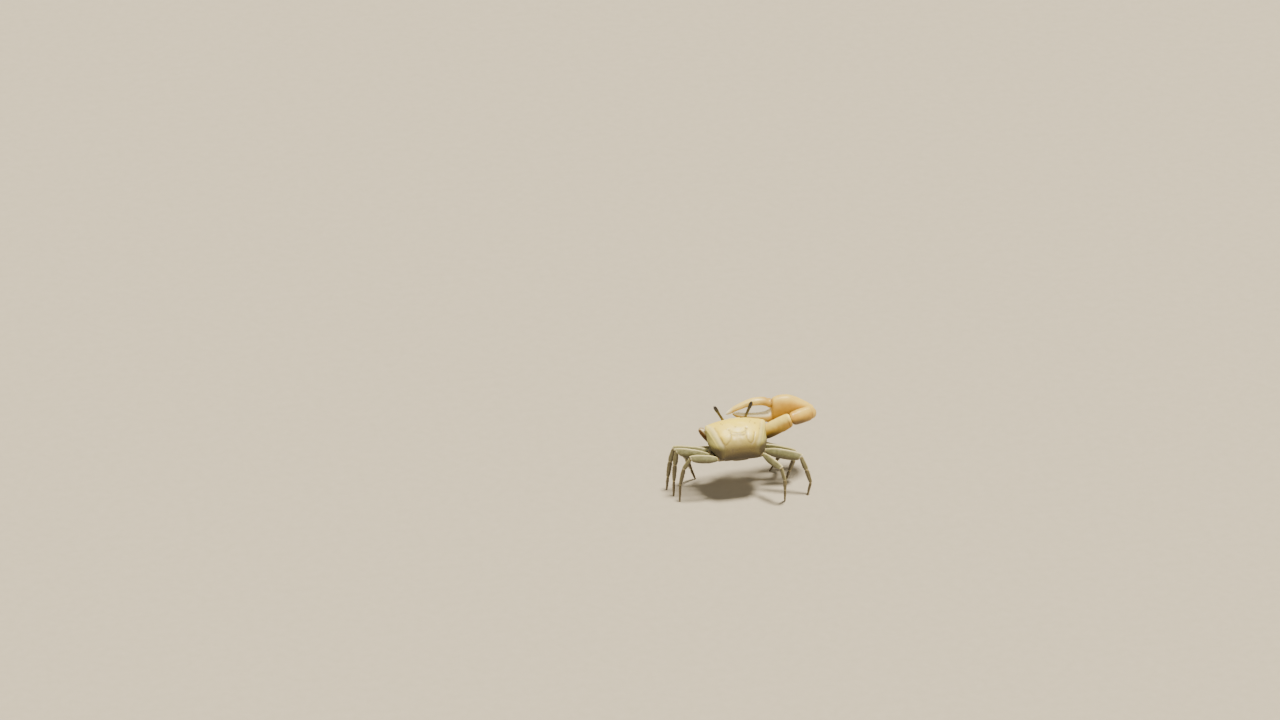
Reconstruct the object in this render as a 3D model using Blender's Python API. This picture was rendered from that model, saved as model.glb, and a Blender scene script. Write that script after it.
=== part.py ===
"""Male fiddler crab standing still with its great right claw held across its front.

Sizes are in millimetres and are turned into metres when a mesh is made. The crab faces
-Y, its left side is +X and the floor is Z = 0. The body has a frame of its own, pitched
front up, whose origin is the top of the back; lengths along it are x, y (rearwards), z.
"""
import math

import bpy
import numpy as np

# ---------------------------------------------------------------- main sizes, mm
MM = 0.001
GAP = 0.3                 # space kept between neighbours
BACK_HEIGHT = 22.6        # top of the back above the floor
PITCH = math.radians(25)  # front of the body raised
RING = 12                 # points round a limb

# Back shell, from the front edge to the rear edge: (y, crown z, ridge half width,
# ridge z, flank half width, flank z, lower half width, lower z).
SHELL = (
    (-6.75, -1.75, 8.9, -3.0, 8.3, -4.3, 6.1, -6.7),
    (-6.45, -1.10, 9.8, -2.6, 9.0, -4.4, 6.5, -6.9),
    (-5.60, -0.60, 9.85, -2.35, 9.2, -4.5, 6.8, -6.9),
    (-4.00, -0.20, 9.55, -2.10, 9.45, -4.5, 7.2, -6.9),
    (-2.00, -0.03, 9.00, -1.95, 9.6, -4.6, 7.7, -6.8),
    (0.20, 0.00, 8.35, -1.95, 9.5, -4.6, 8.0, -6.4),
    (2.20, -0.30, 7.60, -2.35, 9.0, -4.7, 7.8, -5.9),
    (3.90, -0.95, 6.90, -2.95, 8.1, -4.7, 7.2, -5.5),
    (5.30, -2.00, 6.25, -3.70, 7.1, -4.6, 6.4, -5.2),
    (6.30, -3.20, 5.75, -4.20, 6.2, -4.6, 5.7, -5.0),
    (6.85, -4.15, 5.35, -4.50, 5.5, -4.75, 5.2, -4.95),
)
FRONT_BOW = 1.0           # how far the corners stand behind the middle of the front
LOBE_TOP, LOBE_TIP = 2.5, 1.15      # half widths of the front lobe
ORBIT = (6.5, -6.75, -3.35)         # middle of the eye trough
ORBIT_SIZE = (3.15, 0.95, 0.62)

# Breast plate: (y, half width, lower z)
BREAST = ((-5.2, 3.6, -8.9), (-4.2, 4.7, -9.3), (-2.0, 5.6, -9.4), (0.5, 5.9, -9.2),
          (2.6, 5.2, -8.5), (4.1, 4.3, -7.2), (5.2, 3.3, -6.1))

# Tail flap, a strip folded under the body: (y, z) of its middle line and half width.
FLAP = ((6.4, -5.5, 2.4), (6.05, -6.1, 2.6), (5.4, -6.9, 2.5), (4.4, -7.9, 2.2),
        (2.9, -9.15, 1.9), (1.2, -9.75, 1.6), (-0.4, -10.0, 1.35), (-1.6, -10.1, 0.9))
FLAP_THICK = 0.7

# Leg bases in the body frame: (inner end, outer end, stub radius).
LEG_BASE = {
    1: ((5.0, -2.5, -8.5), (7.6, -1.6, -9.0), 0.95),
    2: ((5.2, -0.1, -8.3), (9.0, 0.4, -8.1), 1.0),
    3: ((5.0, 2.3, -8.0), (8.8, 2.8, -7.5), 1.1),
    4: ((3.8, 4.0, -7.2), (7.4, 5.2, -5.8), 0.85),
}
# Joints of each leg above the floor: knee, wrist, heel, toe.
LEG_JOINTS = {
    ("left", 1): ((16.5, -7.9, 13.2), (14.9, -9.4, 9.4), (13.1, -10.9, 4.6), (11.4, -11.8, 0)),
    ("left", 2): ((19.8, -6.1, 15.5), (20.8, -6.8, 10.8), (21.5, -7.1, 4.9), (21.8, -7.4, 0)),
    ("left", 3): ((19.6, -2.6, 16.5), (20.1, -3.0, 11.6), (20.4, -3.1, 5.6), (20.5, -2.9, 0)),
    ("left", 4): ((15.9, 1.2, 15.7), (18.0, 0.7, 12.0), (19.1, 0.4, 6.1), (19.3, 0.8, 0)),
    ("right", 1): ((-15.3, -6.9, 11.1), (-16.0, -9.0, 7.9), (-14.6, -10.5, 3.7), (-12.9, -11.6, 0)),
    ("right", 2): ((-18.5, -1.8, 12.2), (-18.8, -3.1, 8.5), (-17.7, -4.0, 4.2), (-16.6, -4.7, 0)),
    ("right", 3): ((-19.5, 3.7, 13.4), (-21.2, 4.4, 9.0), (-22.5, 5.0, 4.4), (-21.4, 5.4, 0)),
    ("right", 4): ((-11.9, 8.9, 13.3), (-12.9, 9.6, 9.3), (-13.3, 8.4, 4.8), (-13.6, 7.2, 0)),
}
# Half height of the thigh (merus) of each leg, and the size of the rest of it.
LEG_SIZE = {1: (1.35, 0.92), 2: (1.65, 1.0), 3: (1.75, 0.94), 4: (1.5, 0.88)}
# Shares of length, thickness and height along each leg segment.
MERUS = ((0, 0.62, 0.5), (0.12, 0.8, 0.72), (0.38, 1.0, 1.0), (0.68, 1.0, 1.0),
         (0.9, 0.95, 0.84), (1, 0.72, 0.6))
CARPUS = ((0, 0.52, 0.6), (0.2, 0.64, 0.76), (0.75, 0.68, 0.86), (1, 0.54, 0.66))
PROPODUS = ((0, 0.5, 0.62), (0.18, 0.58, 0.76), (0.6, 0.52, 0.7), (0.9, 0.44, 0.56),
            (1, 0.38, 0.46))
DACTYL = ((0, 0.36, 0.42), (0.25, 0.4, 0.46), (0.7, 0.31, 0.36), (1, 0.24, 0.26))

# Great claw, heights measured from the top of the back: (x, low z, high z, half
# thickness, y of the middle). The hand runs on into the fixed finger.
HAND = (
    (-26.95, -1.3, 0.1, 0.7, -10.0), (-26.5, -2.1, 0.9, 1.2, -10.1),
    (-25.5, -2.9, 1.7, 1.7, -10.3), (-24.2, -3.5, 2.6, 2.05, -10.45),
    (-22.6, -4.0, 3.6, 2.3, -10.55), (-20.6, -4.25, 4.75, 2.4, -10.6),
    (-18.4, -4.3, 5.6, 2.4, -10.6), (-16.2, -4.15, 5.8, 2.3, -10.6),
    (-14.4, -3.8, 5.5, 2.1, -10.55), (-13.3, -3.6, 5.0, 1.8, -10.5),
    (-13.0, -3.5, 4.2, 1.6, -10.5), (-12.8, -3.45, 1.7, 1.6, -10.45),
    (-12.0, -3.25, 0.95, 1.5, -10.4), (-10.2, -2.65, 0.45, 1.35, -10.35),
    (-7.8, -1.9, 0.4, 1.2, -10.3), (-5.0, -1.25, 0.75, 1.0, -10.3),
    (-2.6, -0.6, 1.1, 0.75, -10.3), (-1.2, 0.0, 1.4, 0.5, -10.3), (-0.5, 0.65, 1.45, 0.3, -10.3),
)
FINGER = (
    (-12.5, 2.3, 4.3, 1.2, -10.5), (-12.1, 2.1, 5.1, 1.45, -10.45),
    (-10.9, 2.9, 5.7, 1.5, -10.4), (-9.2, 3.35, 6.0, 1.4, -10.35),
    (-7.2, 3.5, 6.0, 1.3, -10.3), (-5.0, 3.25, 5.5, 1.15, -10.3),
    (-2.8, 2.6, 4.65, 1.0, -10.3), (-0.9, 1.95, 3.8, 0.82, -10.3),
    (0.5, 1.3, 2.95, 0.6, -10.3), (1.4, 1.05, 2.2, 0.4, -10.3), (1.85, 1.15, 1.7, 0.22, -10.3),
)
# Arm and wrist of the great claw: joints above, and (share, thickness, height) sections.
ARM_JOINTS = ((-6.3, -8.0, -7.5), (-17.9, -3.9, 0.6), (-25.4, -6.6, 0.8))
ARM = ((0, 1.0, 0.95), (0.12, 1.35, 1.5), (0.3, 1.65, 2.2), (0.55, 1.85, 2.55), (0.8, 1.9, 2.55),
       (0.94, 1.85, 2.35), (1, 1.5, 1.85))
WRIST = ((0, 1.5, 1.8), (0.12, 1.8, 2.25), (0.5, 1.85, 2.45), (0.85, 1.6, 2.4), (1, 1.1, 1.9))

# Small left claw, joints above: shoulder, elbow, wrist, hand end, finger tips.
SMALL_JOINTS = ((7.0, -7.6, -7.4), (10.8, -6.7, -1.6), (9.6, -9.0, -3.3), (6.8, -10.4, -4.7))
SMALL_TIP = (3.2, -10.8, -6.6)
SMALL_ARM = ((0, 0.75, 0.7), (0.25, 0.85, 0.95), (0.8, 0.9, 1.1), (1, 0.7, 0.85))

# Eyestalk: foot in the body frame, tops above, radii.
EYE_FOOT = (3.45, -6.85, -2.35)
EYE_TOP = {"left": (5.65, -7.1, 4.9), "right": (-5.1, -7.1, 5.1)}
CORNEA = 2.05             # length of the eye
STALK_RADIUS = 0.48

COLOURS = {
    "back_shell": (0.80, 0.71, 0.42), "breast": (0.72, 0.66, 0.48), "leg": (0.36, 0.34, 0.20),
    "claw": (0.78, 0.58, 0.28), "small_claw": (0.42, 0.30, 0.16), "stalk": (0.12, 0.09, 0.04),
    "eye": (0.03, 0.025, 0.015),
}


# ---------------------------------------------------------------- frames and vectors
def vec(*p):
    return np.array(p if len(p) > 1 else p[0], dtype=float)


def unit(v):
    return v / np.linalg.norm(v)


def from_body(p):
    """Body frame to the floor frame: pitch about X, then lift."""
    x, y, z = p
    c, s = math.cos(PITCH), math.sin(PITCH)
    return vec(x, y * c + z * s, -y * s + z * c + BACK_HEIGHT)


def from_back(p):
    """A point whose height is measured from the top of the back."""
    return vec(p[0], p[1], p[2] + BACK_HEIGHT)


def mirror(p, side):
    return vec(p[0] if side == "left" else -p[0], p[1], p[2])


# ---------------------------------------------------------------- meshes
def material(kind):
    mat = bpy.data.materials.get(kind)
    if mat is None:
        mat = bpy.data.materials.new(kind)
        mat.use_nodes = True
        shader = mat.node_tree.nodes["Principled BSDF"]
        shader.inputs["Base Color"].default_value = (*COLOURS[kind], 1)
        shader.inputs["Roughness"].default_value = 0.45
    return mat


def make(name, points, faces, kind):
    """One closed object from points in mm; faces are turned outwards."""
    mesh = bpy.data.meshes.new(name)
    mesh.from_pydata([tuple(float(c) * MM for c in p) for p in points], [], faces)
    mesh.validate()
    obj = bpy.data.objects.new(name, mesh)
    bpy.context.scene.collection.objects.link(obj)
    mesh.materials.append(material(kind))
    if signed_volume(mesh) < 0:
        mesh.flip_normals()
    for poly in mesh.polygons:
        poly.use_smooth = True
    mesh.update()
    return obj


def signed_volume(mesh):
    mesh.calc_loop_triangles()
    co = np.array([v.co for v in mesh.vertices])
    tri = np.array([t.vertices for t in mesh.loop_triangles])
    return float(np.sum(np.einsum("ij,ij->i", co[tri[:, 0]], np.cross(co[tri[:, 1]], co[tri[:, 2]]))))


def loft(name, rings, kind):
    """Skin of quads over rings of equal length, each end closed by a fan to its middle."""
    n, points, faces = len(rings[0]), [p for r in rings for p in r], []
    for i in range(len(rings) - 1):
        for j in range(n):
            k = (j + 1) % n
            faces.append((i * n + j, i * n + k, (i + 1) * n + k, (i + 1) * n + j))
    for start, ring in ((0, rings[0]), ((len(rings) - 1) * n, rings[-1])):
        points.append(np.mean(ring, axis=0))
        for j in range(n):
            fan = (start + (j + 1) % n, start + j, len(points) - 1)
            faces.append(fan if start == 0 else fan[::-1])
    return make(name, points, faces, kind)


def oval(count, power=2.3):
    """Points of a rounded superellipse of half size 1 in two directions."""
    out = []
    for k in range(count):
        a = 2 * math.pi * k / count
        c, s = math.cos(a), math.sin(a)
        out.append((math.copysign(abs(c) ** (2 / power), c), math.copysign(abs(s) ** (2 / power), s)))
    return out


def combine(target, other, operation):
    """Exact boolean of two objects; the second one is used up."""
    mod = target.modifiers.new(operation.lower(), "BOOLEAN")
    mod.operation, mod.solver, mod.object = operation, "EXACT", other
    bpy.context.view_layer.update()
    result = bpy.data.meshes.new_from_object(
        target.evaluated_get(bpy.context.evaluated_depsgraph_get()))
    target.modifiers.clear()
    old, target.data = target.data, result
    bpy.data.meshes.remove(old)
    used = other.data
    bpy.data.objects.remove(other)
    bpy.data.meshes.remove(used)
    return target


def ellipsoid(name, centre, size, kind, around=14, along=8, tilt=0.0):
    """Ellipsoid in the body frame, tilted about Y."""
    rings = []
    for i in range(1, along):
        a = math.pi * i / along
        ring = []
        for j in range(around):
            b = 2 * math.pi * j / around
            x, y, z = (size[0] * -math.cos(a), size[1] * math.sin(a) * math.cos(b),
                       size[2] * math.sin(a) * math.sin(b))
            c, s = math.cos(tilt), math.sin(tilt)
            ring.append(from_body((centre[0] + x * c, centre[1] + y, centre[2] + z + x * s)))
        rings.append(ring)
    return loft(name, rings, kind)


def limb(name, start, end, sections, up, kind, cut_start=None, cut_end=None, count=RING):
    """Tapering limb between two joints; its ends lie on the joints' mitre planes.

    Each section is (share of the length, half thickness, half height)."""
    axis = unit(end - start)
    up = unit(up - axis * np.dot(up, axis))
    side = np.cross(axis, up)
    cut_start = axis if cut_start is None else cut_start
    cut_end = axis if cut_end is None else cut_end

    def reach(offset, origin, normal, gap):
        return np.dot(origin - start, axis) + (gap - np.dot(offset, normal)) / np.dot(axis, normal)

    rings = []
    for share, thick, high in sections:
        ring = []
        for c, s in oval(count):
            offset = side * (thick * c) + up * (high * s)
            a = reach(offset, start, cut_start, GAP / 2)
            b = reach(offset, end, cut_end, -GAP / 2)
            ring.append(start + offset + axis * (a + (b - a) * share))
        rings.append(ring)
    return loft(name, rings, kind)


# ---------------------------------------------------------------- body
def shell_ring(row):
    """Outline of the body at one station, from the crown down the left and up the right."""
    y, crown, ridge, ridge_z, flank, flank_z, low, low_z = row
    half = [(ridge * s, crown - (crown - ridge_z) * s ** 2.4) for s in (0.25, 0.5, 0.72, 0.88)]
    half += [(ridge, ridge_z), ((ridge + flank) / 2 + 0.12, (ridge_z + flank_z) / 2),
             (flank, flank_z), (flank * 0.6 + low * 0.4, flank_z * 0.45 + low_z * 0.55), (low, low_z),
             (low * 0.5, low_z)]
    right = [(-x, z) for x, z in reversed(half)]
    front = max(0.0, min(1.0, -y / 6.5))
    ring = []
    for x, z in [(0, crown)] + half + [(0, low_z)] + right:
        bow = FRONT_BOW * front * (x / 10) ** 2
        lean = 0.2 * front ** 4 * max(0.0, -2.6 - z)
        ring.append(from_body((x, y + bow + lean, z)))
    return ring


def back_shell():
    shell = loft("back_shell", [shell_ring(row) for row in SHELL], "back_shell")
    lobe = []
    for z, half, front in ((-0.75, LOBE_TOP * 0.8, -6.5), (-1.15, LOBE_TOP, -6.9),
                           (-2.2, LOBE_TOP * 0.74, -7.3), (-3.2, LOBE_TIP, -7.3),
                           (-3.7, LOBE_TIP * 0.6, -7.1)):
        lobe.append([from_body((half * c, -5.6 + (front + 5.6) * max(0.0, -s) + 0.4 * max(0.0, s), z))
                     for c, s in oval(12, 2.6)])
    combine(shell, loft("lobe", lobe, "back_shell"), "UNION")
    for sign in (1, -1):
        centre = (sign * ORBIT[0], ORBIT[1] + 0.28, ORBIT[2])
        combine(shell, ellipsoid("orbit", centre, ORBIT_SIZE, "back_shell", tilt=-0.06 * sign), "DIFFERENCE")
        socket = (sign * EYE_FOOT[0], EYE_FOOT[1], EYE_FOOT[2])
        ball = (STALK_RADIUS + GAP + 0.2,) * 3
        combine(shell, ellipsoid("socket", socket, ball, "back_shell", 12, 8), "DIFFERENCE")
        inner, base, radius = LEG_BASE[4]
        combine(shell, notch(from_body(vec(*inner) * (sign, 1, 1)), from_body(vec(*base) * (sign, 1, 1)),
                             ((0, radius, radius), (1, radius, radius))), "DIFFERENCE")
    for joints, table in ((ARM_JOINTS, ARM), (SMALL_JOINTS, SMALL_ARM)):
        combine(shell, notch(from_back(joints[0]), from_back(joints[1]), table), "DIFFERENCE")
    return shell


def notch(start, end, sections):
    """Cutter that leaves room for a limb where it passes the shell's lower edge."""
    room = [(t, a + GAP, b + GAP) for t, a, b in sections]
    return limb("notch", start, end, room, vec(0.3, 0, 1), "back_shell")


def split_height(y):
    """Height of the seam between the shell above and the breast plate below."""
    return float(np.interp(y, [row[0] for row in SHELL], [row[7] for row in SHELL]))


def breast():
    rings = []
    for y, half, low in BREAST:
        top = split_height(y) - GAP
        ring = [(half, top), (half * 1.02, top * 0.4 + low * 0.6), (half * 0.8, low), (0, low - 0.05)]
        ring = ring + [(-x, z) for x, z in reversed(ring[:-1])] + [(0, top)]
        rings.append([from_body((x, y, z)) for x, z in ring])
    plate = loft("breast_plate", rings, "breast")
    for side in ("left", "right"):
        for number in LEG_BASE:
            combine(plate, leg_stub(side, number), "UNION")
        combine(plate, claw_stub(side), "UNION")
    return plate


def stub(name, inner, outer, radius, cut):
    sections = ((0, radius * 0.9, radius * 0.9), (0.55, radius, radius), (0.85, radius, radius),
                (1, radius * 0.75, radius * 0.75))
    return limb(name, inner, outer, sections, vec(0, 0, 1), "breast", cut_end=cut, count=10)


def leg_points(side, number):
    """Inner end, base, knee, wrist, heel and toe of one leg."""
    inner, base, _ = LEG_BASE[number]
    joints = [vec(p) for p in LEG_JOINTS[side, number]]
    return [from_body(mirror(inner, side)), from_body(mirror(base, side))] + joints


def mitre(a, b, c):
    """Normal of the plane halfway between the two lengths that meet at b."""
    return unit(unit(b - a) + unit(c - b))


def leg_stub(side, number):
    p = leg_points(side, number)
    return stub("stub", p[0], p[1], LEG_BASE[number][2], mitre(p[0], p[1], p[2]))


def claw_stub(side):
    joints = ARM_JOINTS if side == "right" else SMALL_JOINTS
    inner = from_body(mirror((2.9, -4.2, -8.2), side))
    outer, after = from_back(joints[0]), from_back(joints[1])
    return stub("stub", inner, outer, 1.2 if side == "right" else 0.95, mitre(inner, outer, after))


def tail_flap():
    """Tail folded round the rear and along the belly: a strip of even thickness."""
    line = [vec(0, y, z) for y, z, _ in FLAP]
    rings = []
    for i, (_, _, half) in enumerate(FLAP):
        along = unit(line[min(i + 1, len(line) - 1)] - line[max(i - 1, 0)])
        out = np.cross(along, vec(1, 0, 0))
        rings.append([from_body(line[i] + vec(half * c, 0, 0) + out * (FLAP_THICK / 2 * s))
                      for c, s in oval(10, 3)])
    return loft("tail_flap", rings, "breast")


def mouth_plates():
    """The two outer jaw feet that close the mouth like doors."""
    for side in ("left", "right"):
        rings = []
        for z, inner, outer, bulge in ((-4.45, 0.45, 2.0, 0.25), (-4.9, 0.2, 2.9, 0.5),
                                       (-6.4, 0.15, 3.4, 0.7), (-8.0, 0.15, 3.2, 0.65),
                                       (-8.9, 0.2, 2.5, 0.4), (-9.2, 0.5, 1.9, 0.25)):
            middle, half = (inner + outer) / 2, (outer - inner) / 2
            y = -7.25 + 0.13 * (-4.4 - z)
            rings.append([from_body(mirror((middle + half * c, y + bulge * s, z), side))
                          for c, s in oval(10, 2.6)])
        loft(f"{side}_mouth_plate", rings, "breast")


def antennae():
    for side in ("left", "right"):
        foot = from_body(mirror((2.8, -7.0, -3.8), side))
        tip = from_body(mirror((3.7, -7.9, -5.0), side))
        sections = ((0, 0.42, 0.42), (0.3, 0.4, 0.4), (0.45, 0.27, 0.27), (1, 0.25, 0.25))
        limb(f"{side}_antenna", foot, tip, sections, vec(0, 0, 1), "leg", count=8)


def eyes():
    for side in ("left", "right"):
        foot, top = from_body(mirror(EYE_FOOT, side)), from_back(EYE_TOP[side])
        r, up = STALK_RADIUS, vec(0, 1, 0)
        sections = ((0, r * 0.8, r * 0.8), (0.08, r, r), (0.5, r * 0.85, r * 0.85), (0.9, r * 0.95, r * 0.95),
                    (1, r, r))
        limb(f"{side}_eyestalk", foot, top, sections, up, "stalk", count=10)
        end = top + unit(top - foot) * CORNEA
        sections = ((0, r, r), (0.2, r * 1.2, r * 1.2), (0.55, r * 1.25, r * 1.25), (0.85, r * 0.9, r * 0.9),
                    (1, r * 0.4, r * 0.4))
        limb(f"{side}_eye", top, end, sections, up, "eye", count=10)


# ---------------------------------------------------------------- legs
def leg(side, number):
    points = leg_points(side, number)
    names = ("merus", "carpus", "propodus", "dactyl")
    high, rest = LEG_SIZE[number]
    merus = [(t, 0.85 * a, high * b) for t, a, b in MERUS]
    tables = [merus] + [[(t, a * rest, b * rest) for t, a, b in table]
                        for table in (CARPUS, PROPODUS, DACTYL)]
    turn = np.cross(unit(points[2] - points[1]), unit(points[3] - points[2]))
    for i, (name, table) in enumerate(zip(names, tables)):
        a, b = points[i + 1], points[i + 2]
        outward = np.cross(unit(b - a), turn)
        cut_a = mitre(points[i], a, b)
        if name == "dactyl":
            b, cut_b = b + vec(0, 0, -GAP / 2), vec(0, 0, -1)
        else:
            cut_b = mitre(a, b, points[i + 3])
        limb(f"{side}_leg_{number}_{name}", a, b, table, outward, "leg", cut_a, cut_b, count=10)


# ---------------------------------------------------------------- claws
def bar(name, stations, kind, count=16):
    """Flattened bar that runs along X; one oval section for each station."""
    rings = []
    for x, low, high, thick, y in stations:
        rings.append([from_back((x, y + thick * c, (low + high) / 2 + (high - low) / 2 * s))
                      for c, s in oval(count, 2.3)])
    return loft(name, rings, kind)


def great_claw():
    inner = from_body(mirror((2.9, -4.2, -8.2), "right"))
    shoulder, elbow, wrist = (from_back(p) for p in ARM_JOINTS)
    up = vec(0.3, 0, 1)
    bend = mitre(shoulder, elbow, wrist)
    limb("great_claw_merus", shoulder, elbow, ARM, up, "claw", mitre(inner, shoulder, elbow), bend, 14)
    limb("great_claw_carpus", elbow, wrist, WRIST, up, "claw", bend, None, 14)
    bar("great_claw_hand", HAND, "claw")
    bar("great_claw_finger", FINGER, "claw", 14)


def small_claw():
    inner = from_body(mirror((2.9, -4.2, -8.2), "left"))
    shoulder, elbow, wrist, palm = (from_back(p) for p in SMALL_JOINTS)
    tip, up = from_back(SMALL_TIP), vec(0, 0, 1)
    carpus = ((0, 0.65, 0.7), (0.3, 0.85, 0.95), (0.8, 0.8, 0.95), (1, 0.6, 0.7))
    hand = ((0, 0.6, 0.7), (0.25, 0.75, 1.0), (0.8, 0.7, 1.1), (1, 0.6, 1.0))
    limb("small_claw_merus", shoulder, elbow, SMALL_ARM, up, "small_claw",
         mitre(inner, shoulder, elbow), mitre(shoulder, elbow, wrist), 10)
    limb("small_claw_carpus", elbow, wrist, carpus, up, "small_claw",
         mitre(shoulder, elbow, wrist), mitre(elbow, wrist, palm), 10)
    finger = ((0, 0.5, 0.38), (0.5, 0.42, 0.34), (0.85, 0.5, 0.3), (1, 0.32, 0.2))
    axis = unit(tip - palm)
    across = unit(up - axis * np.dot(up, axis))
    fixed = limb("fixed", palm - axis * 0.5 - across * 0.55, tip - across * 0.3, finger, up,
                 "small_claw", count=8)
    body = limb("small_claw_hand", wrist, palm, hand, up, "small_claw", mitre(elbow, wrist, palm), None, 10)
    combine(body, fixed, "UNION")
    limb("small_claw_finger", palm + across * 0.62 + axis * 0.25, tip + across * 0.4, finger, up,
         "small_claw", count=8)


# ---------------------------------------------------------------- whole crab
def centre_on_floor():
    """Shift all the parts so that the box round them is centred on the origin."""
    objects = [o for o in bpy.data.objects if o.type == "MESH"]
    points = np.array([v.co for o in objects for v in o.data.vertices])
    middle = (points.min(axis=0) + points.max(axis=0)) / 2
    for obj in objects:
        for v in obj.data.vertices:
            v.co.x -= middle[0]
            v.co.y -= middle[1]
        obj.data.update()


def main():
    for obj in list(bpy.data.objects):
        bpy.data.objects.remove(obj)
    back_shell()
    breast()
    tail_flap()
    mouth_plates()
    antennae()
    eyes()
    for side, number in LEG_JOINTS:
        leg(side, number)
    great_claw()
    small_claw()
    centre_on_floor()


main()
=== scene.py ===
# %% [markdown]
# # A male fiddler crab at life size
# A crab has no skin over its bones: it is a set of hard plates and tubes, joined by soft tissue.
# This lesson dresses a plain CAD crab. Each CAD solid is replaced by a finer closed surface of
# the same outline, worked out with numpy, and each surface gets the finish of real cuticle.
# The plates stay separate, because the seams between them are what makes a crab look like one.

# %% Load the fixed frame
import math

import bpy
import numpy as np
from mathutils import Matrix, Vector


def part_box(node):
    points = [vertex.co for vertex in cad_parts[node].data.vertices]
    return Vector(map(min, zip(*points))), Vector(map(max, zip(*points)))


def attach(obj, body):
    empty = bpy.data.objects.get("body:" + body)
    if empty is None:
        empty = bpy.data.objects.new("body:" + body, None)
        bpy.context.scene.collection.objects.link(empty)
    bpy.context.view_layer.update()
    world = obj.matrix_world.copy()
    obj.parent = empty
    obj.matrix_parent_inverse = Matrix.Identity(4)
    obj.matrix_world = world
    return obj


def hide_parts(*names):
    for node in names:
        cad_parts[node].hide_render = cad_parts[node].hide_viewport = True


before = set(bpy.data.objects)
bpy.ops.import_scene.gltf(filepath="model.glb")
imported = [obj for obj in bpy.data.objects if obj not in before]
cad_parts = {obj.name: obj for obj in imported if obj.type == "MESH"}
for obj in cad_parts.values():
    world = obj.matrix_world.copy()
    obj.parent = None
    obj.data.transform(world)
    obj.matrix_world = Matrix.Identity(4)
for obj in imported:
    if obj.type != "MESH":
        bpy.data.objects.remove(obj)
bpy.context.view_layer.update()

MM = 0.001

# %% [markdown]
# ## The frame of the body
# The floor is Z = 0 and the crab faces -Y, with its left side at +X. The trunk has a frame of
# its own, pitched front up, because its plates are easier to describe before they are tilted.
# All sizes are in millimetres. One shift brings the drawing onto the CAD model: it is read from
# the box of the great claw's palm, so that nothing has to be fitted by eye.

# %% Body frame and the shift onto the CAD model
BACK_HEIGHT = 22.6                    # top of the back above the floor
PITCH = math.radians(25)
GAP = 0.3                             # space between neighbouring plates
PALM_END, PALM_FRONT = -26.95, -13.0  # outer end and front of the palm as drawn

palm_low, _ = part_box("great_claw_hand")
SHIFT = np.array([palm_low[0] / MM - PALM_END, palm_low[1] / MM - PALM_FRONT, 0.0])


def from_body(points):
    """Body frame to floor frame: y and z turn by the pitch about X, then all is lifted."""
    x, y, z = np.moveaxis(np.asarray(points, float), -1, 0)
    c, s = math.cos(PITCH), math.sin(PITCH)
    return np.stack([x, y * c + z * s, -y * s + z * c + BACK_HEIGHT], axis=-1)


def from_back(points):
    """Heights measured from the top of the back become heights above the floor."""
    return np.asarray(points, float) + (0, 0, BACK_HEIGHT)


def mirrored(points, side):
    """The drawing gives the left side; the right side is its mirror image in X = 0."""
    return np.asarray(points, float) * (1 if side == "left" else -1, 1, 1)


print("shift onto the CAD model, mm:", SHIFT.round(3))

# %% [markdown]
# ## Small tools for shapes
# Every form here is a function of two parameters on a grid. These helpers give soft steps,
# bell curves, smooth reading of a table, gentle lumps and strewn grains, all for whole arrays.

# %% Unit vectors, soft steps and bell curves


def unit(v):
    """Vectors divided by their length."""
    return v / np.linalg.norm(v, axis=-1, keepdims=True)


def ramp(value, low, high):
    """Soft step: t = (value - low) / (high - low) kept in 0..1, then 3t^2 - 2t^3."""
    t = np.clip((value - low) / (high - low), 0, 1)
    return t * t * (3 - 2 * t)


def hump(distance, width):
    """Bell curve: e to the power -(distance / width)^2."""
    return np.exp(-(distance / width) ** 2)


print("ramp a quarter of the way:", ramp(0.25, 0, 1), "  hump at its width:", round(hump(1.0, 1.0), 3))

# %% Reading a table smoothly


def read(table, at):
    """Read a table smoothly: a cubic between its rows whose slope at each row is the harmonic
    mean of the slopes on either side, so that the curve never swings past the rows."""
    table, at = np.asarray(table, float), np.asarray(at, float)
    x, y = table[:, 0], table[:, 1:]
    step = np.diff(x)[:, None]
    slope = np.diff(y, axis=0) / step
    product = slope[:-1] * slope[1:]
    total = np.where(product > 0, slope[:-1] + slope[1:], 1)
    m = np.vstack([slope[:1], np.where(product > 0, 2 * product / total, 0), slope[-1:]])
    i = np.clip(np.searchsorted(x, at) - 1, 0, len(x) - 2)
    t, h = ((at - x[i]) / (x[i + 1] - x[i]))[:, None], step[i]
    rise = h * (m[i] * t * (1 - t) ** 2 - m[i + 1] * t ** 2 * (1 - t))
    return y[i] * (1 + 2 * t) * (1 - t) ** 2 + y[i + 1] * t ** 2 * (3 - 2 * t) + rise


def walk(rows):
    """Put in front of each row its distance from the first row, and return that table."""
    rows = np.asarray(rows, float)
    step = np.linalg.norm(np.diff(rows, axis=0), axis=1)
    return np.column_stack([np.concatenate([[0], np.cumsum(step)]), rows])


print("halfway from 0 to 1 through (0, 1, 3):", read([(0, 0), (1, 1), (2, 3)], [0.5])[0, 0])

# %% Lumps, grains and lines


def lumps(points, size, seed):
    """Gentle lumps about `size` across: a sum of eight sine waves that run in random directions."""
    random = np.random.default_rng(seed)
    waves = unit(random.normal(size=(8, 3))) * random.uniform(0.6, 1.5, (8, 1)) * 2 * math.pi / size
    return np.sin(points @ waves.T + random.uniform(0, 2 * math.pi, 8)).sum(axis=-1) / 4


def chance(i, j, seed):
    """A number from 0 to 1 for each cell of a net, the same in each run: the fraction of a big sine."""
    value = np.sin(i * 127.1 + j * 311.7 + seed * 74.7) * 43758.5453
    return value - np.floor(value)


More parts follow.
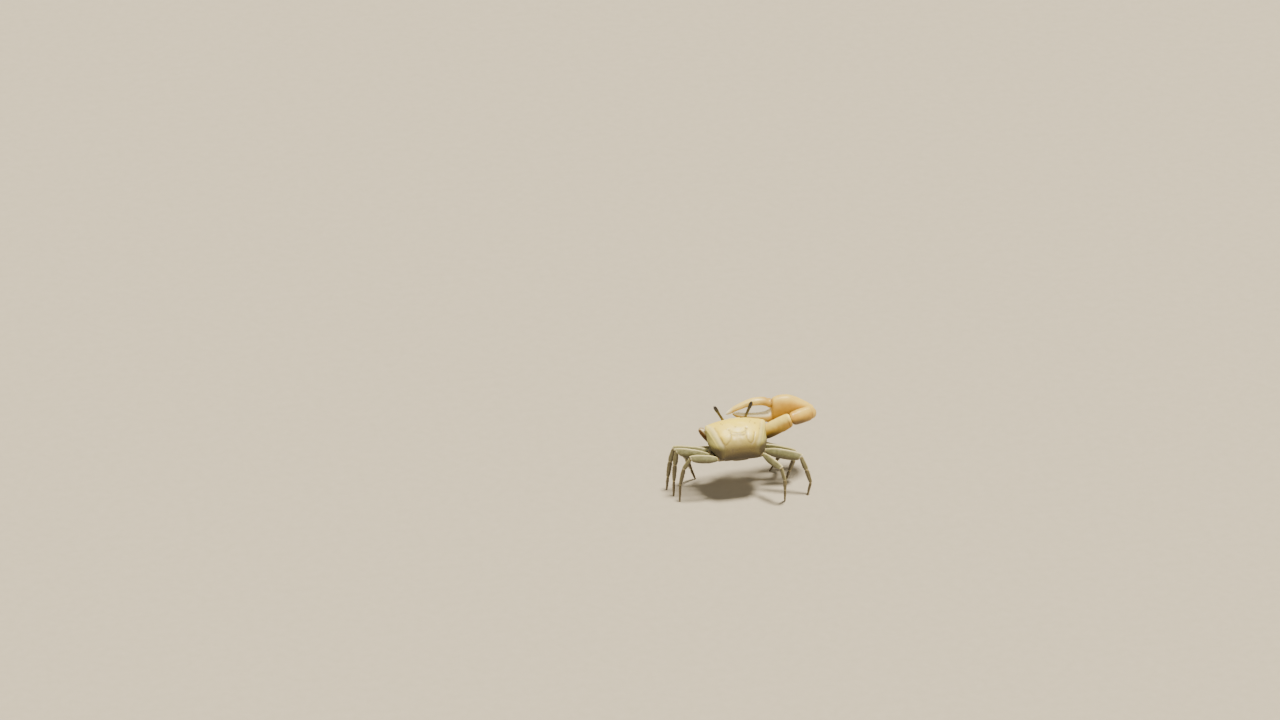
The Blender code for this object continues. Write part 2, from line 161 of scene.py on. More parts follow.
def grains(u, v, pitch, size, seed):
    """Round grains, one somewhere in each square of a net: the highest of the nine nearest domes,
    each 1 - (distance / radius)^2, with its centre and radius drawn by chance."""
    best = np.zeros(np.broadcast(u, v).shape)
    for step_u in (-1, 0, 1):
        for step_v in (-1, 0, 1):
            i, j = np.floor(u / pitch) + step_u, np.floor(v / pitch) + step_v
            near_u = u - (i + chance(i, j, seed)) * pitch
            near_v = v - (j + chance(i, j, seed + 1)) * pitch
            radius = size * (0.4 + 0.6 * chance(i, j, seed + 2))
            best = np.maximum(best, 1 - (near_u ** 2 + near_v ** 2) / radius ** 2)
    return best


def near_line(x, y, line):
    """Shortest distance from each point to an open line of straight stretches."""
    best = np.full(np.shape(x), np.inf)
    for (ax, ay), (bx, by) in zip(line[:-1], line[1:]):
        dx, dy = bx - ax, by - ay
        t = np.clip(((x - ax) * dx + (y - ay) * dy) / (dx * dx + dy * dy), 0, 1)
        best = np.minimum(best, np.hypot(x - ax - t * dx, y - ay - t * dy))
    return best


print("from (1, 0) to the Y axis:", near_line(1.0, 0.0, ((0, -1), (0, 1))))

# %% [markdown]
# ## From grids to closed meshes
# A grid of rings becomes a tube of quads. Each end is closed like a zip, by quads that join the
# two halves of the last ring, so there is no pinched pole. Numbers worked out with the shape,
# such as how deep a groove is, are kept on the points as attributes for the materials.

# %% Grids and closed tubes


def outward(grid):
    """Outward direction at each grid point: the cross product of its two tangents."""
    around = np.roll(grid, -1, axis=1) - np.roll(grid, 1, axis=1)
    along = np.gradient(grid, axis=0)
    normal = np.cross(along, around)
    normal /= np.maximum(np.linalg.norm(normal, axis=-1, keepdims=True), 1e-9)
    middle = grid.mean(axis=1, keepdims=True)
    return normal * np.sign(np.sum(normal * (grid - middle)) or 1)


def tube(grid, marks, turn=0):
    """Close a grid of rings: quads between rings, and a zip of quads across each end ring."""
    rings, around = grid.shape[:2]
    index = np.arange(rings * around).reshape(rings, around)
    after = np.roll(index, -1, axis=1)
    faces = [np.stack([index[:-1], after[:-1], after[1:], index[1:]], axis=-1).reshape(-1, 4)]
    half = np.arange(around // 2)
    for ring, order in ((index[0], -1), (index[-1], 1)):
        corner = [ring[(turn + place) % around] for place in (half, half + 1, -half - 1, -half)]
        zip_quads = np.stack(corner, axis=-1)[:, ::order]
        first = np.stack(corner[:3], axis=-1)[:1]
        last = np.stack([corner[0], corner[1], corner[3]], axis=-1)[-1:]
        faces += [zip_quads[1:-1], first[:, ::order], last[:, ::order]]
    flat = {name: np.broadcast_to(value, (rings, around)).ravel() for name, value in marks.items()}
    return {"points": grid.reshape(-1, 3), "faces": faces, "marks": flat}


def volume(part):
    """Signed volume: a sixth of the sum of a . (b x c) over the triangles of each face fan."""
    total, p = 0.0, part["points"]
    for faces in part["faces"]:
        for k in range(1, faces.shape[1] - 1):
            total += np.einsum("ij,ij->", p[faces[:, 0]], np.cross(p[faces[:, k]], p[faces[:, k + 1]]))
    return total / 6


ring = 2 * math.pi * np.arange(8) / 8
trial = np.stack([np.cos(ring), np.sin(ring), 0 * ring], axis=-1) + np.array([[[0, 0, 0]], [[0, 0, 1]]])
print("volume of an eight-sided prism:", round(abs(volume(tube(trial, {}))), 3))

# %% Joined pieces, rounded sections and beads


def piece(name, parts, finish, nodes=()):
    """Join closed parts into one mesh at its place, give it its finish, and enter it in the frame."""
    base, points, faces = 0, [], []
    for part in parts:
        turn = -1 if volume(part) < 0 else 1
        for group in part["faces"]:
            faces += (group[:, ::turn] + base).tolist()
        points.append(part["points"])
        base += len(part["points"])
    points = (np.concatenate(points) + SHIFT) * MM
    mesh = bpy.data.meshes.new(name)
    mesh.from_pydata(points, [], faces)
    mesh.polygons.foreach_set("use_smooth", np.ones(len(mesh.polygons), dtype=bool))
    for mark in sorted({mark for part in parts for mark in part["marks"]}):
        values = [part["marks"].get(mark, np.zeros(len(part["points"]))) for part in parts]
        layer = mesh.attributes.new(mark, "FLOAT", "POINT")
        layer.data.foreach_set("value", np.concatenate(values).astype(np.float32))
    if any("patch" in part for part in parts):
        spot = np.concatenate([part["patch"] for part in parts])
        corners = np.empty(len(mesh.loops), dtype=np.int32)
        mesh.loops.foreach_get("vertex_index", corners)
        mesh.uv_layers.new(name="OFBake").data.foreach_set("uv", spot[corners].ravel())
    mesh.update()
    obj = bpy.data.objects.new(name, mesh)
    bpy.context.scene.collection.objects.link(obj)
    mesh.materials.append(finish)
    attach(obj, "root")
    if nodes:
        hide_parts(*nodes)
    print(f"{name}: {len(mesh.vertices)} points, {sum(len(f) - 2 for f in faces)} triangles")
    return obj


def superellipse(count, power=2.3):
    """Rounded section of half size 1: cosine and sine, each raised to 2 / power, sign kept."""
    a = 2 * math.pi * np.arange(count) / count
    c, s = np.cos(a), np.sin(a)
    return np.sign(c) * np.abs(c) ** (2 / power), np.sign(s) * np.abs(s) ** (2 / power)


def beads(centres, sizes):
    """Small closed balls, squashed by their three sizes: a template ball times each size, moved."""
    centres, sizes = np.asarray(centres, float), np.asarray(sizes, float)
    sizes = np.broadcast_to(sizes.reshape(len(sizes), -1), centres.shape)
    latitude = np.linspace(0.3, math.pi - 0.3, 6)[:, None]
    longitude = 2 * math.pi * np.arange(10) / 10
    ball = np.stack([np.sin(latitude) * np.cos(longitude), np.sin(latitude) * np.sin(longitude),
                     np.cos(latitude) * np.ones(10)], axis=-1)
    shape = tube(ball, {})
    points = centres[:, None] + shape["points"] * sizes[:, None]
    base = len(shape["points"]) * np.arange(len(centres))[:, None, None]
    faces = [(group + base).reshape(-1, group.shape[1]) for group in shape["faces"]]
    return {"points": points.reshape(-1, 3), "faces": faces, "marks": {}}


def marked(part, **levels):
    """The same part with an even level of each named mark on all its points."""
    part["marks"].update({mark: np.full(len(part["points"]), float(v)) for mark, v in levels.items()})
    return part


print("one bead:", len(beads([(0, 0, 0)], [1.0])["points"]), "points")

# %% [markdown]
# ## Cuticle
# The plates are calcified cuticle: chitin filled with chalk, moulted and grown anew as one
# sheet, so it has no weave or grain, only soft clouds of pigment, fine pores and a waxy sheen.
# A painted image could hold its markings, but attributes worked out with the grooves keep
# colour and shape together. One recipe serves all plates: ground colour, clouds, then each
# mark in turn. Chitin's index of refraction is about 1.55.

# %% Colours and nodes
CHITIN_IOR = 1.55
COLOURS = {"data_type": "RGBA"}       # makes a Mix node mix colours: factor 0, sockets 6 and 7
PORE, PORE_DEPTH = 0.22, 0.04         # mm; real pores are finer, and wouldn't show at this size


def linear(code):
    """sRGB hex to linear RGBA: divide by 12.92 below 0.04045, else ((c + 0.055) / 1.055)^2.4."""
    part = np.array([int(code[i:i + 2], 16) / 255 for i in (1, 3, 5)])
    light = np.where(part <= 0.04045, part / 12.92, ((part + 0.055) / 1.055) ** 2.4)
    return (*light.tolist(), 1.0)


def add(tree, kind, settings, inputs):
    """Add one node: its own settings, then each input by name or place, as a value or a link."""
    new = tree.nodes.new("ShaderNode" + kind)
    for name, value in settings.items():
        setattr(new, name, value)
    for place, value in inputs.items():
        if isinstance(value, bpy.types.NodeSocket):
            tree.links.new(value, new.inputs[place])
        else:
            new.inputs[place].default_value = value
    return new.outputs


def per_mm(size):
    """Texture scale for a feature `size` millimetres across, in Object coordinates in metres."""
    return 1 / (size * MM)


def new_material(name):
    """A new material, its tree, and its Object coordinates, which stay with the piece."""
    material = bpy.data.materials.new(name)
    material.use_nodes = True
    return material, material.node_tree, add(material.node_tree, "TexCoord", {}, {})["Object"]


def feed(tree, sources):
    """Give each named socket of the shader its value, or a link from a node's output."""
    shader = tree.nodes["Principled BSDF"]
    for socket, source in sources.items():
        if isinstance(source, bpy.types.NodeSocket):
            tree.links.new(source, shader.inputs[socket])
        else:
            shader.inputs[socket].default_value = source


print("mid grey in linear light:", round(linear("#808080")[0], 4))

# %% The cuticle recipe


def cuticle(name, ground, cloud, layers, speck, gloss, coat=0.12, cloud_size=1.8):
    """Cuticle material: clouds of two colours, specks, marks laid over them in turn, pores, sheen."""
    material, tree, place = new_material(name)
    mist = add(tree, "TexNoise", {}, {"Vector": place, "Scale": per_mm(cloud_size), "Detail": 4.0})["Fac"]
    share = add(tree, "MapRange", {}, {"Value": mist, "From Min": 0.36, "From Max": 0.64})["Result"]
    colour = add(tree, "Mix", COLOURS, {0: share, 6: linear(ground), 7: linear(cloud)})[2]
    paint, size, amount = speck
    dots = add(tree, "TexNoise", {}, {"Vector": place, "Scale": per_mm(size)})["Fac"]
    dots = add(tree, "MapRange", {}, {"Value": dots, "From Min": 0.62, "From Max": 0.74,
                                      "To Max": amount})["Result"]
    colour = add(tree, "Mix", COLOURS, {0: dots, 6: colour, 7: linear(paint)})[2]
    fine = add(tree, "TexNoise", {}, {"Vector": place, "Scale": per_mm(0.35), "Detail": 3.0})["Fac"]
    broken = add(tree, "MapRange", {}, {"Value": fine, "From Min": 0.3, "From Max": 0.7,
                                        "To Min": 0.9, "To Max": 1.04})["Result"]
    # Some of these marks are painted light: shade on lower sides, in grooves and in joint folds, and
    # highlights along upper edges.
    for mark, paint, amount in layers:
        level = add(tree, "Attribute", {"attribute_name": mark}, {})["Fac"]
        level = add(tree, "Math", {"operation": "MULTIPLY"}, {0: level, 1: amount})["Value"]
        level = add(tree, "Math", {"operation": "MULTIPLY", "use_clamp": True}, {0: level, 1: broken})
        colour = add(tree, "Mix", COLOURS, {0: level["Value"], 6: colour, 7: linear(paint)})[2]
    pores = add(tree, "TexVoronoi", {}, {"Vector": place, "Scale": per_mm(PORE)})["Distance"]
    pores = add(tree, "MapRange", {}, {"Value": pores, "From Min": 0.0, "From Max": 0.35})["Result"]
    skin = add(tree, "TexNoise", {}, {"Vector": place, "Scale": per_mm(0.12)})["Fac"]
    height = add(tree, "Math", {"operation": "MULTIPLY_ADD"}, {0: skin, 1: 0.6, 2: pores})["Value"]
    bump = add(tree, "Bump", {}, {"Height": height, "Strength": 0.3, "Distance": PORE_DEPTH * MM})
    rough = add(tree, "MapRange", {}, {"Value": mist, "From Min": 0.3, "From Max": 0.7,
                                       "To Min": gloss - 0.05, "To Max": gloss + 0.09})["Result"]
    feed(tree, {"Base Color": colour, "Roughness": rough, "Normal": bump["Normal"], "IOR": CHITIN_IOR,
                "Coat Weight": coat, "Coat Roughness": 0.3})
    print(f"{name}: {len(tree.nodes)} nodes")
    return material


print("pores", PORE, "mm apart and", PORE_DEPTH, "mm deep")

# %% [markdown]
# ## Floor, light and camera
# A pale floor and soft light show a small shiny animal best. The key is a broad lamp nearly
# overhead, like the noon sun on a beach: it lights the back and the tops of the limbs, drops the
# shadow under the body, and lights the floor evenly out to its edge. A very wide lamp behind the
# camera opens the shade a little, and a backdrop as bright as the floor hides the horizon. Small
# lamps nearby would give hot spots at this size. The camera is long, as for a shy animal.

# %% Floor
FLOOR_HALF = 6.0                      # metres


def stage_floor():
    """One large sheet of matt card under the feet: no shine, and so faint a cloud of two greys
    that the eye takes it for plain paper and not for a flat colour."""
    corners = FLOOR_HALF * np.array([(-1, -1, 0), (1, -1, 0), (1, 1, 0), (-1, 1, 0)])
    mesh = bpy.data.meshes.new("floor")
    mesh.from_pydata(corners.tolist(), [], [(0, 1, 2, 3)])
    floor = bpy.data.objects.new("floor", mesh)
    bpy.context.scene.collection.objects.link(floor)
    material, tree, place = new_material("matt_card_floor")
    mist = add(tree, "TexNoise", {}, {"Vector": place, "Scale": per_mm(3.0)})["Fac"]
    colour = add(tree, "Mix", COLOURS, {0: mist, 6: linear("#B6B0A2"), 7: linear("#ABA596")})[2]
    feed(tree, {"Base Color": colour, "Roughness": 0.85})
    mesh.materials.append(material)


stage_floor()
print("floor", 2 * FLOOR_HALF, "m across")

# %% Lamps and backdrop
LAMP_DISTANCE = 1.2                   # metres


def stand(obj, right, back, position):
    """Stand an object at a position with its +Z along `back` and its +X along `right`."""
    axes = np.column_stack([right, np.cross(back, right), back, position])
    obj.matrix_world = Matrix(np.vstack([axes, [0, 0, 0, 1]]).tolist())
    bpy.context.scene.collection.objects.link(obj)
    return obj


def lamp(name, azimuth, height, power, colour, width):
    """Far lamp at a bearing, which fills `width` degrees of the sky; its -Z axis looks at the crab."""
    a, e = math.radians(azimuth), math.radians(height)
    back = np.array([math.sin(a) * math.cos(e), -math.cos(a) * math.cos(e), math.sin(e)])
    right = np.array([math.cos(a), math.sin(a), 0])
    light = bpy.data.lights.new(name, "SUN")
    light.energy, light.color, light.angle = power, linear(colour)[:3], math.radians(width)
    stand(bpy.data.objects.new(name, light), right, back, back * LAMP_DISTANCE)


def studio_backdrop():
    """Paper backdrop, as bright as the floor where they meet, that dims with height."""
    world = bpy.data.worlds.new("studio")
    bpy.context.scene.world = world
    world.use_nodes = True
    tree = world.node_tree
    sky = tree.nodes["Background"]
    sky.inputs["Color"].default_value = linear("#EBDFC3")
    way = add(tree, "TexCoord", {}, {})["Generated"]
    height = add(tree, "SeparateXYZ", {}, {0: way})["Z"]
    level = add(tree, "MapRange", {"interpolation_type": "SMOOTHSTEP"},
                {"Value": height, "From Min": 0.0, "From Max": 0.25, "To Min": 1.5, "To Max": 0.23})
    tree.links.new(level["Result"], sky.inputs["Strength"])


lamp("key_lamp", 250, 80, 8.5, "#FFF2DA", 12)
lamp("fill_lamp", 172, 36, 0.7, "#FFF6E8", 50)
studio_backdrop()
print("lamps", [light.name for light in bpy.data.lights])

# %% Camera
AZIMUTH, ELEVATION = math.radians(168), math.radians(30)
LENS, SENSOR = 150, 36
FRAME_WIDTH = 406.3                   # mm across the view at the crab
OFF_CENTRE = (31.4, -23.2)            # mm of the back's top from the middle of the view: right, up


def make_camera():
    """Camera whose distance comes from the width of the view, and whose aim puts the top of the
    back at its place off the middle."""
    ca, sa, ce, se = math.cos(AZIMUTH), math.sin(AZIMUTH), math.cos(ELEVATION), math.sin(ELEVATION)
    right, back = np.array([ca, sa, 0]), np.array([sa * ce, -ca * ce, se])
    up = np.cross(back, right)
    top = (np.array([0, 0, BACK_HEIGHT]) + SHIFT) * MM
    aim = top - (right * OFF_CENTRE[0] + up * OFF_CENTRE[1]) * MM
    data = bpy.data.cameras.new("camera")
    data.lens, data.sensor_width = LENS, SENSOR
    data.clip_start, data.clip_end = 0.01, 50
    distance = FRAME_WIDTH * MM * LENS / SENSOR
    camera = bpy.data.objects.new("camera", data)
    bpy.context.scene.camera = stand(camera, right, back, aim + back * distance)


make_camera()
print("camera", [round(c, 3) for c in bpy.context.scene.camera.matrix_world.translation])

# %% [markdown]
# ## The back shell
# The carapace is one plate that covers the back and folds down round the flanks. It is widest
# at its front corners and domed, and its grooves show where muscles hold on inside. Here it is
# a section carried from front to rear. The front is a face of its own, made of rings that
# shrink to a line, so that the eye troughs can be pressed into it.

# %% Outline of the shell, front to rear
# (y, crown z, ridge half width, ridge z, flank half width, flank z, lower half width, lower z)
SHELL = (
    (-6.75, -1.75, 8.9, -3.0, 8.3, -4.3, 6.1, -6.7),
    (-6.45, -1.10, 9.8, -2.6, 9.0, -4.4, 6.5, -6.9),
    (-5.60, -0.60, 9.85, -2.35, 9.2, -4.5, 6.8, -6.9),
    (-4.00, -0.20, 9.55, -2.10, 9.45, -4.5, 7.2, -6.9),
    (-2.00, -0.03, 9.00, -1.95, 9.6, -4.6, 7.7, -6.8),
    (0.20, 0.00, 8.35, -1.95, 9.5, -4.6, 8.0, -6.4),
    (2.20, -0.30, 7.60, -2.35, 9.0, -4.7, 7.8, -5.9),
    (3.90, -0.95, 6.90, -2.95, 8.1, -4.7, 7.2, -5.5),
    (5.30, -2.00, 6.25, -3.70, 7.1, -4.6, 6.4, -5.2),
    (6.30, -3.20, 5.75, -4.20, 6.2, -4.6, 5.7, -5.0),
    (6.85, -4.15, 5.35, -4.50, 5.5, -4.75, 5.2, -4.95),
)
FRONT_BOW = 1.0                       # how far the corners stand behind the middle of the front
TOP, FLANK, UNDER = 92, 60, 40        # steps from crown to ridge, to the lower edge, to the middle
STATIONS, FACE_RINGS, REAR_RINGS = 118, 46, 5   # sections of the shell, and rings that close its ends
# Half width at which the raised line along each side of the back runs: (y, half width)
SIDE_RIDGE = ((-6.6, 9.7), (-5.4, 8.75), (-4.2, 7.95), (-2.2, 7.15), (0.0, 6.5), (2.0, 5.75),
              (4.0, 4.75), (5.2, 4.0))


def shell_lean(x, y, z):
    """Push rearwards: the front bows back towards its corners and leans in below the eyes."""
    front = np.clip(-y / 6.5, 0, 1)
    return FRONT_BOW * front * (x / 10) ** 2 + 0.2 * front ** 4 * np.maximum(0, -2.6 - z)


def shell_rings():
    """Sections of the shell: on top z = crown - drop * f(s), s from crown to ridge, where f is
    s^2.4 with a steeper fall outside the side ridge; below, a smooth curve through the flank."""
    table = walk(SHELL)
    rows = read(table, np.linspace(0, table[-1, 0], STATIONS))
    y, crown, ridge, ridge_z, flank, flank_z, low, low_z = (c[:, None] for c in rows.T)
    s = np.linspace(0, 1, TOP + 1)[:-1]
    border = np.clip(read(SIDE_RIDGE, rows[:, 0])[:, :1] / ridge, 0.6, 0.97)
    fall = 0.78 * s ** 2.4 + 0.22 * ramp(s, border - 0.04, 1.0)
    top_x, top_z = ridge * s, crown - (crown - ridge_z) * fall
    knots_x = np.hstack([ridge, (ridge + flank) / 2 + 0.12, flank, flank * 0.6 + low * 0.4, low])
    knots_z = np.hstack([ridge_z, (ridge_z + flank_z) / 2, flank_z,
                         flank_z * 0.45 + low_z * 0.55, low_z])
    knots = np.column_stack([np.arange(5.0), np.hstack([knots_x.T, knots_z.T])])
    side = read(knots, np.linspace(0, 4, FLANK + 1)[:-1])
    side_x, side_z = side[:, :STATIONS].T, side[:, STATIONS:].T
    share = np.linspace(1, 0, UNDER + 1)
    x = np.hstack([top_x, side_x, low * share])
    z = np.hstack([top_z, side_z, low_z + 0 * share])
    x, z = np.hstack([x, -x[:, -2:0:-1]]), np.hstack([z, z[:, -2:0:-1]])
    return np.stack([x, y + shell_lean(x, y, z), z], axis=-1)


rings = shell_rings()
print("shell sections", rings.shape, "widest", round(float(np.ptp(rings[..., 0])), 2), "mm")

# %% [markdown]
# ## The crab's face
# Under the brow each side has a long trough in which the eye stalk folds down, with a beaded
# lower rim. Between the troughs a small lobe hangs down. Booleans could cut these, but they
# leave ragged edges. Pressing the front face back to the wall of each hollow keeps the grid.

# %% Face: lobe, eye troughs and sockets
ORBIT, ORBIT_SIZE = (6.5, -6.47, -3.35), (3.15, 1.05, 0.72)   # middle and half sizes of a trough
SOCKET, SOCKET_SIZE = (3.45, -6.85, -2.35), 0.95              # middle and radius of a stalk's socket
# Lobe between the troughs: (z, half width, how far it stands forward)
LOBE = ((-3.9, 0.4, 0.25), (-3.2, 1.2, 0.55), (-2.2, 1.9, 0.58), (-1.15, 2.45, 0.2), (-0.6, 2.6, 0.0))


def trough_height(side):
    """Height of the middle of the eye trough, which sinks a little outwards."""
    return ORBIT[2] - 0.06 * (side - ORBIT[0])


def press_front(grid, inside):
    """Shape the front: lobe and rims stand forward by bell curves and soft steps; each hollow is
    the larger of the face's y and the y of its back wall, a stretched ball."""
    x, y, z = np.moveaxis(grid, -1, 0)
    side, dz = np.abs(x), z - trough_height(np.abs(x))
    half, out = np.moveaxis(read(LOBE, np.clip(z, -3.9, -0.6).ravel()).reshape(*z.shape, 2), -1, 0)
    lobe = out * ramp(half - side, -0.25, 0.35)
    furrow = 0.16 * hump(x, 0.28) * ramp(z, -3.6, -3.0) * ramp(-z, 1.2, 1.8)
    length = ramp(side, 3.2, 4.0) * ramp(-side, -9.5, -8.8)
    teeth = 0.6 + 0.4 * np.cos(2 * math.pi * side / 0.46)
    rim = length * (0.24 * hump(dz + 0.92, 0.16) * teeth + 0.12 * hump(dz - 0.86, 0.14))
    cheek = 0.35 * hump(side - 6.2, 2.4) * hump(z + 5.5, 0.9)
    y = y - inside * (lobe - furrow + rim + cheek)
    reach = 1 - (np.abs(side - ORBIT[0]) / ORBIT_SIZE[0]) ** 2.6 - (np.abs(dz) / ORBIT_SIZE[2]) ** 2.4
    wall = ORBIT[1] + ORBIT_SIZE[1] * np.sqrt(np.maximum(reach, 0))
    y = np.where((reach > 0) & (y < -4), np.maximum(y, wall), y)
    near = SOCKET_SIZE ** 2 - (side - SOCKET[0]) ** 2 - (z - SOCKET[2]) ** 2
    wall = SOCKET[1] + np.sqrt(np.maximum(near, 0))
    return np.stack([x, np.where((near > 0) & (y < -5.2), np.maximum(y, wall), y), z], axis=-1)


def end_rings(ring, count, turn):
    """Rings that shrink from an end ring to the line halfway between its upper and lower edge."""
    place = np.arange(len(ring))
    line = (ring + ring[(2 * turn - place) % len(ring)]) / 2
    share = np.linspace(0, 0.97, count + 1)[1:, None, None]
    return ring * (1 - share) + line * share


SIDE = TOP + FLANK // 2               # place of the outermost point on a ring
FRONT_Y = SHELL[0][0]
front = end_rings(rings[0], FACE_RINGS, SIDE)
front[..., 1] = FRONT_Y + shell_lean(front[..., 0], FRONT_Y, front[..., 2])
shell = np.concatenate([front[::-1], rings, end_rings(rings[-1], REAR_RINGS, SIDE)])
inside = np.concatenate([np.linspace(1, 0, FACE_RINGS), np.zeros(STATIONS + REAR_RINGS)])
inside = ramp(inside, 0.0, 0.08)
shell = press_front(shell, inside[:, None])
print("shell grid with its face", shell.shape)

# %% [markdown]
# ## Grooves and swellings of the back
# The middle of the back carries the stomach region, a low swelling with curved furrows behind
# it, then the heart region with two small bumps, and on each side a U-shaped furrow round the
# gill chambers. No crab's pattern is quite the same left and right, so each furrow is a line of
# its own on the plan of the back. The distance to it gives a bell curve, which presses the
# surface in and tints it as well. A sculpted texture could do the same, but not be edited.

# %% Relief and markings of the shell
FURROWS = (                           # (x, y) along each furrow, in mm; +x is the crab's left
    ((3.0, -1.7), (2.45, -0.9), (1.6, -0.3), (0.4, 0.05), (-0.8, 0.05), (-1.95, -0.4), (-2.55, -1.05),
     (-2.8, -1.7)),
    ((2.65, 0.05), (1.7, 0.5), (0.3, 0.8), (-1.2, 0.8), (-2.0, 0.5)),
    ((2.8, -1.35), (2.65, 0.05), (2.9, 1.1), (3.4, 2.2), (4.3, 3.1), (4.95, 3.3), (5.5, 2.3),
     (5.95, 0.6)),
    ((-2.45, -0.7), (-2.3, 0.9), (-2.35, 2.05), (-2.7, 3.0), (-3.4, 3.55), (-4.1, 3.1), (-4.7, 1.65),
     (-5.1, 0.5), (-5.15, -0.1)),
)
# The groove inside each side ridge, drawn in the same way
BESIDE = (((7.2, -3.4), (6.65, -1.4), (6.2, 0.8), (5.6, 2.85), (5.2, 3.8)),
          ((-7.9, -3.6), (-7.0, -1.2), (-6.4, 0.8), (-5.6, 2.4), (-4.7, 3.8)))
DOMES = (                             # (x, y, radius, height) of each swelling
    (0.1, -1.5, 1.9, 0.2), (2.0, 2.1, 1.0, 0.14), (-0.7, 2.2, 1.1, 0.14), (5.0, -1.6, 2.4, 0.12),
    (-5.0, -1.8, 2.6, 0.14), (2.2, -4.8, 1.4, 0.08), (-2.2, -4.8, 1.4, 0.08),
)
SPOTS = (                             # (x, y, radius) of each brown spot
    (-6.0, -3.5, 0.34), (-7.05, -1.55, 0.22), (-5.1, 0.05, 0.24), (-4.7, -4.75, 0.24), (-4.3, -4.0, 0.2),
    (4.9, -4.6, 0.22), (4.5, -4.15, 0.18), (3.6, -1.95, 0.22), (-2.7, -1.65, 0.3), (-8.5, 3.0, 0.3),
    (2.8, 5.0, 0.35), (3.0, -1.6, 0.26), (0.7, -2.5, 0.3),
)


def dress_shell(grid):
    """Relief of the shell along its outward direction, and its marks, from the plan x and y. Each
    feature is a bell curve of a distance, or a soft step of a height, and is 0 off its region."""
    x, y, z = np.moveaxis(grid, -1, 0)
    column = np.arange(grid.shape[1])
    from_crown = np.minimum(column, grid.shape[1] - column)
    on_top = (from_crown <= TOP) * ramp(np.abs(from_crown - TOP), 0, 6) * ramp(y, -6.75, -6.2)
    u, v = x + 0.1 * lumps(grid, 1.7, 3), y + 0.1 * lumps(grid, 1.5, 4)
    to_line = np.min([near_line(u, v, line) for line in FURROWS], axis=0)
    furrow = hump(to_line, 0.38) * on_top
    scratch = hump(to_line, 0.19) * (0.3 + 0.5 * ramp(lumps(grid, 1.3, 6), -0.8, 0.4)) * on_top
    spot = np.max([hump(np.hypot(u - sx, v - sy), r) for sx, sy, r in SPOTS], axis=0) * on_top
    swell = sum(h * hump(np.hypot(x - dx, y - dy), r) for dx, dy, r, h in DOMES) * on_top
    edge = read(SIDE_RIDGE, np.clip(y, -6.6, 5.2).ravel())[:, 0].reshape(y.shape)
    one_side = np.where(x > 0, 1.0, 0.6) * on_top
    band = hump(np.abs(x) - edge - 0.6, 0.6) * ramp(-y, -5.0, -2.8) * one_side
    to_beside = np.min([near_line(u, v, line) for line in BESIDE], axis=0)
    beside = hump(to_beside, 0.34) * one_side
    dome = hump(u - 0.1, 1.7) * hump(v + 1.35, 0.9) * on_top
    dip = hump(v - 0.4, 0.45) * ramp(-np.abs(u), -2.9, -1.8) * on_top
    rear_rim = hump(y - 6.45, 0.16) * ramp(-z, 1.0, 2.0)
    brow = hump(y + 6.35, 0.16) * on_top
    flank = (1 - on_top) * ramp(y, -6.7, -6.0) * ramp(np.abs(x), 3, 5)
    seam = hump(z + 5.35 - 0.08 * y, 0.11) * flank
    rough = grains(y * 1.0, z + x * 0.3, 0.42, 0.2, 11) * ramp(np.abs(x) - 0.25 * y, 7.0, 9.4)
    height = (swell - 0.1 * furrow - 0.02 * scratch + 0.07 * band - 0.08 * beside + 0.08 * rear_rim
              + 0.08 * brow - 0.06 * seam + 0.035 * lumps(grid, 3.2, 5) * ramp(y, -6.6, -5.5)
              + 0.05 * rough * ramp(y, -6.6, -5.8)) * ramp(-y, -6.85, -6.55)
    beyond = ramp(np.abs(x) - edge, -0.1, 1.5) * on_top
    on_face = (np.arange(len(grid)) < FACE_RINGS)[:, None]
    marks = {
        # The narrow broken lines are the grooves' own brown; the wider soft band round them, the groove
        # beside each ridge, the dip and the flank seam are painted shade in the grooves.
        "furrow": np.clip(0.25 * furrow + scratch + 0.6 * beside + 0.35 * dip + 0.6 * seam, 0, 1),
        "spot": spot,
        # Pale along the side ridges, the brow and the middle swelling: partly the cuticle's paler colour,
        # partly painted highlight on these raised parts.
        "ridge": np.clip(0.8 * band + 0.6 * brow + dome, 0, 1),
        # The back turns olive from the heart region rearwards: partly its own colour, partly painted
        # shade.
        "heart": ramp(y, -0.3, 3.2) * on_top,
        "flank": np.clip(np.maximum(beyond * ramp(y, -5.5, -1.5), flank * ramp(y, -6.6, -4.5)), 0, 1),
        # Darker still on the rear slope: partly the shell's own brown, partly painted shade where the
        # slope turns away from the light.
        "rear": ramp(y - 0.4 * z, 2.5, 6.0) * ramp(y, 1.5, 3.8),
        # Low on the flanks and at the rear end: mostly painted shade, with some darker colour of the
        # sides.
        "low": np.maximum(ramp(-z + 0.45 * y, 2.9, 5.0) * ramp(np.abs(x) + 0.2 * y, 6, 8)
                          * ramp(y, -4.5, -0.5), ramp(y, 5.2, 6.5)),
        "yellow": hump(x, 6.0) * ramp(y, -7, -5) * ramp(-y, -2.5, 0.5) * on_top,
        # Painted shade inside the eye troughs.
        "hollow": ramp(y, -6.45, -5.75) * (1 - ramp(y, -5.7, -5.6)) * ramp(-z, 2.4, 3.0)
        * ramp(-np.abs(x), -9.6, -9.2) * on_face,
    }
    return grid + outward(grid) * height[..., None], marks


shell, shell_marks = dress_shell(shell)
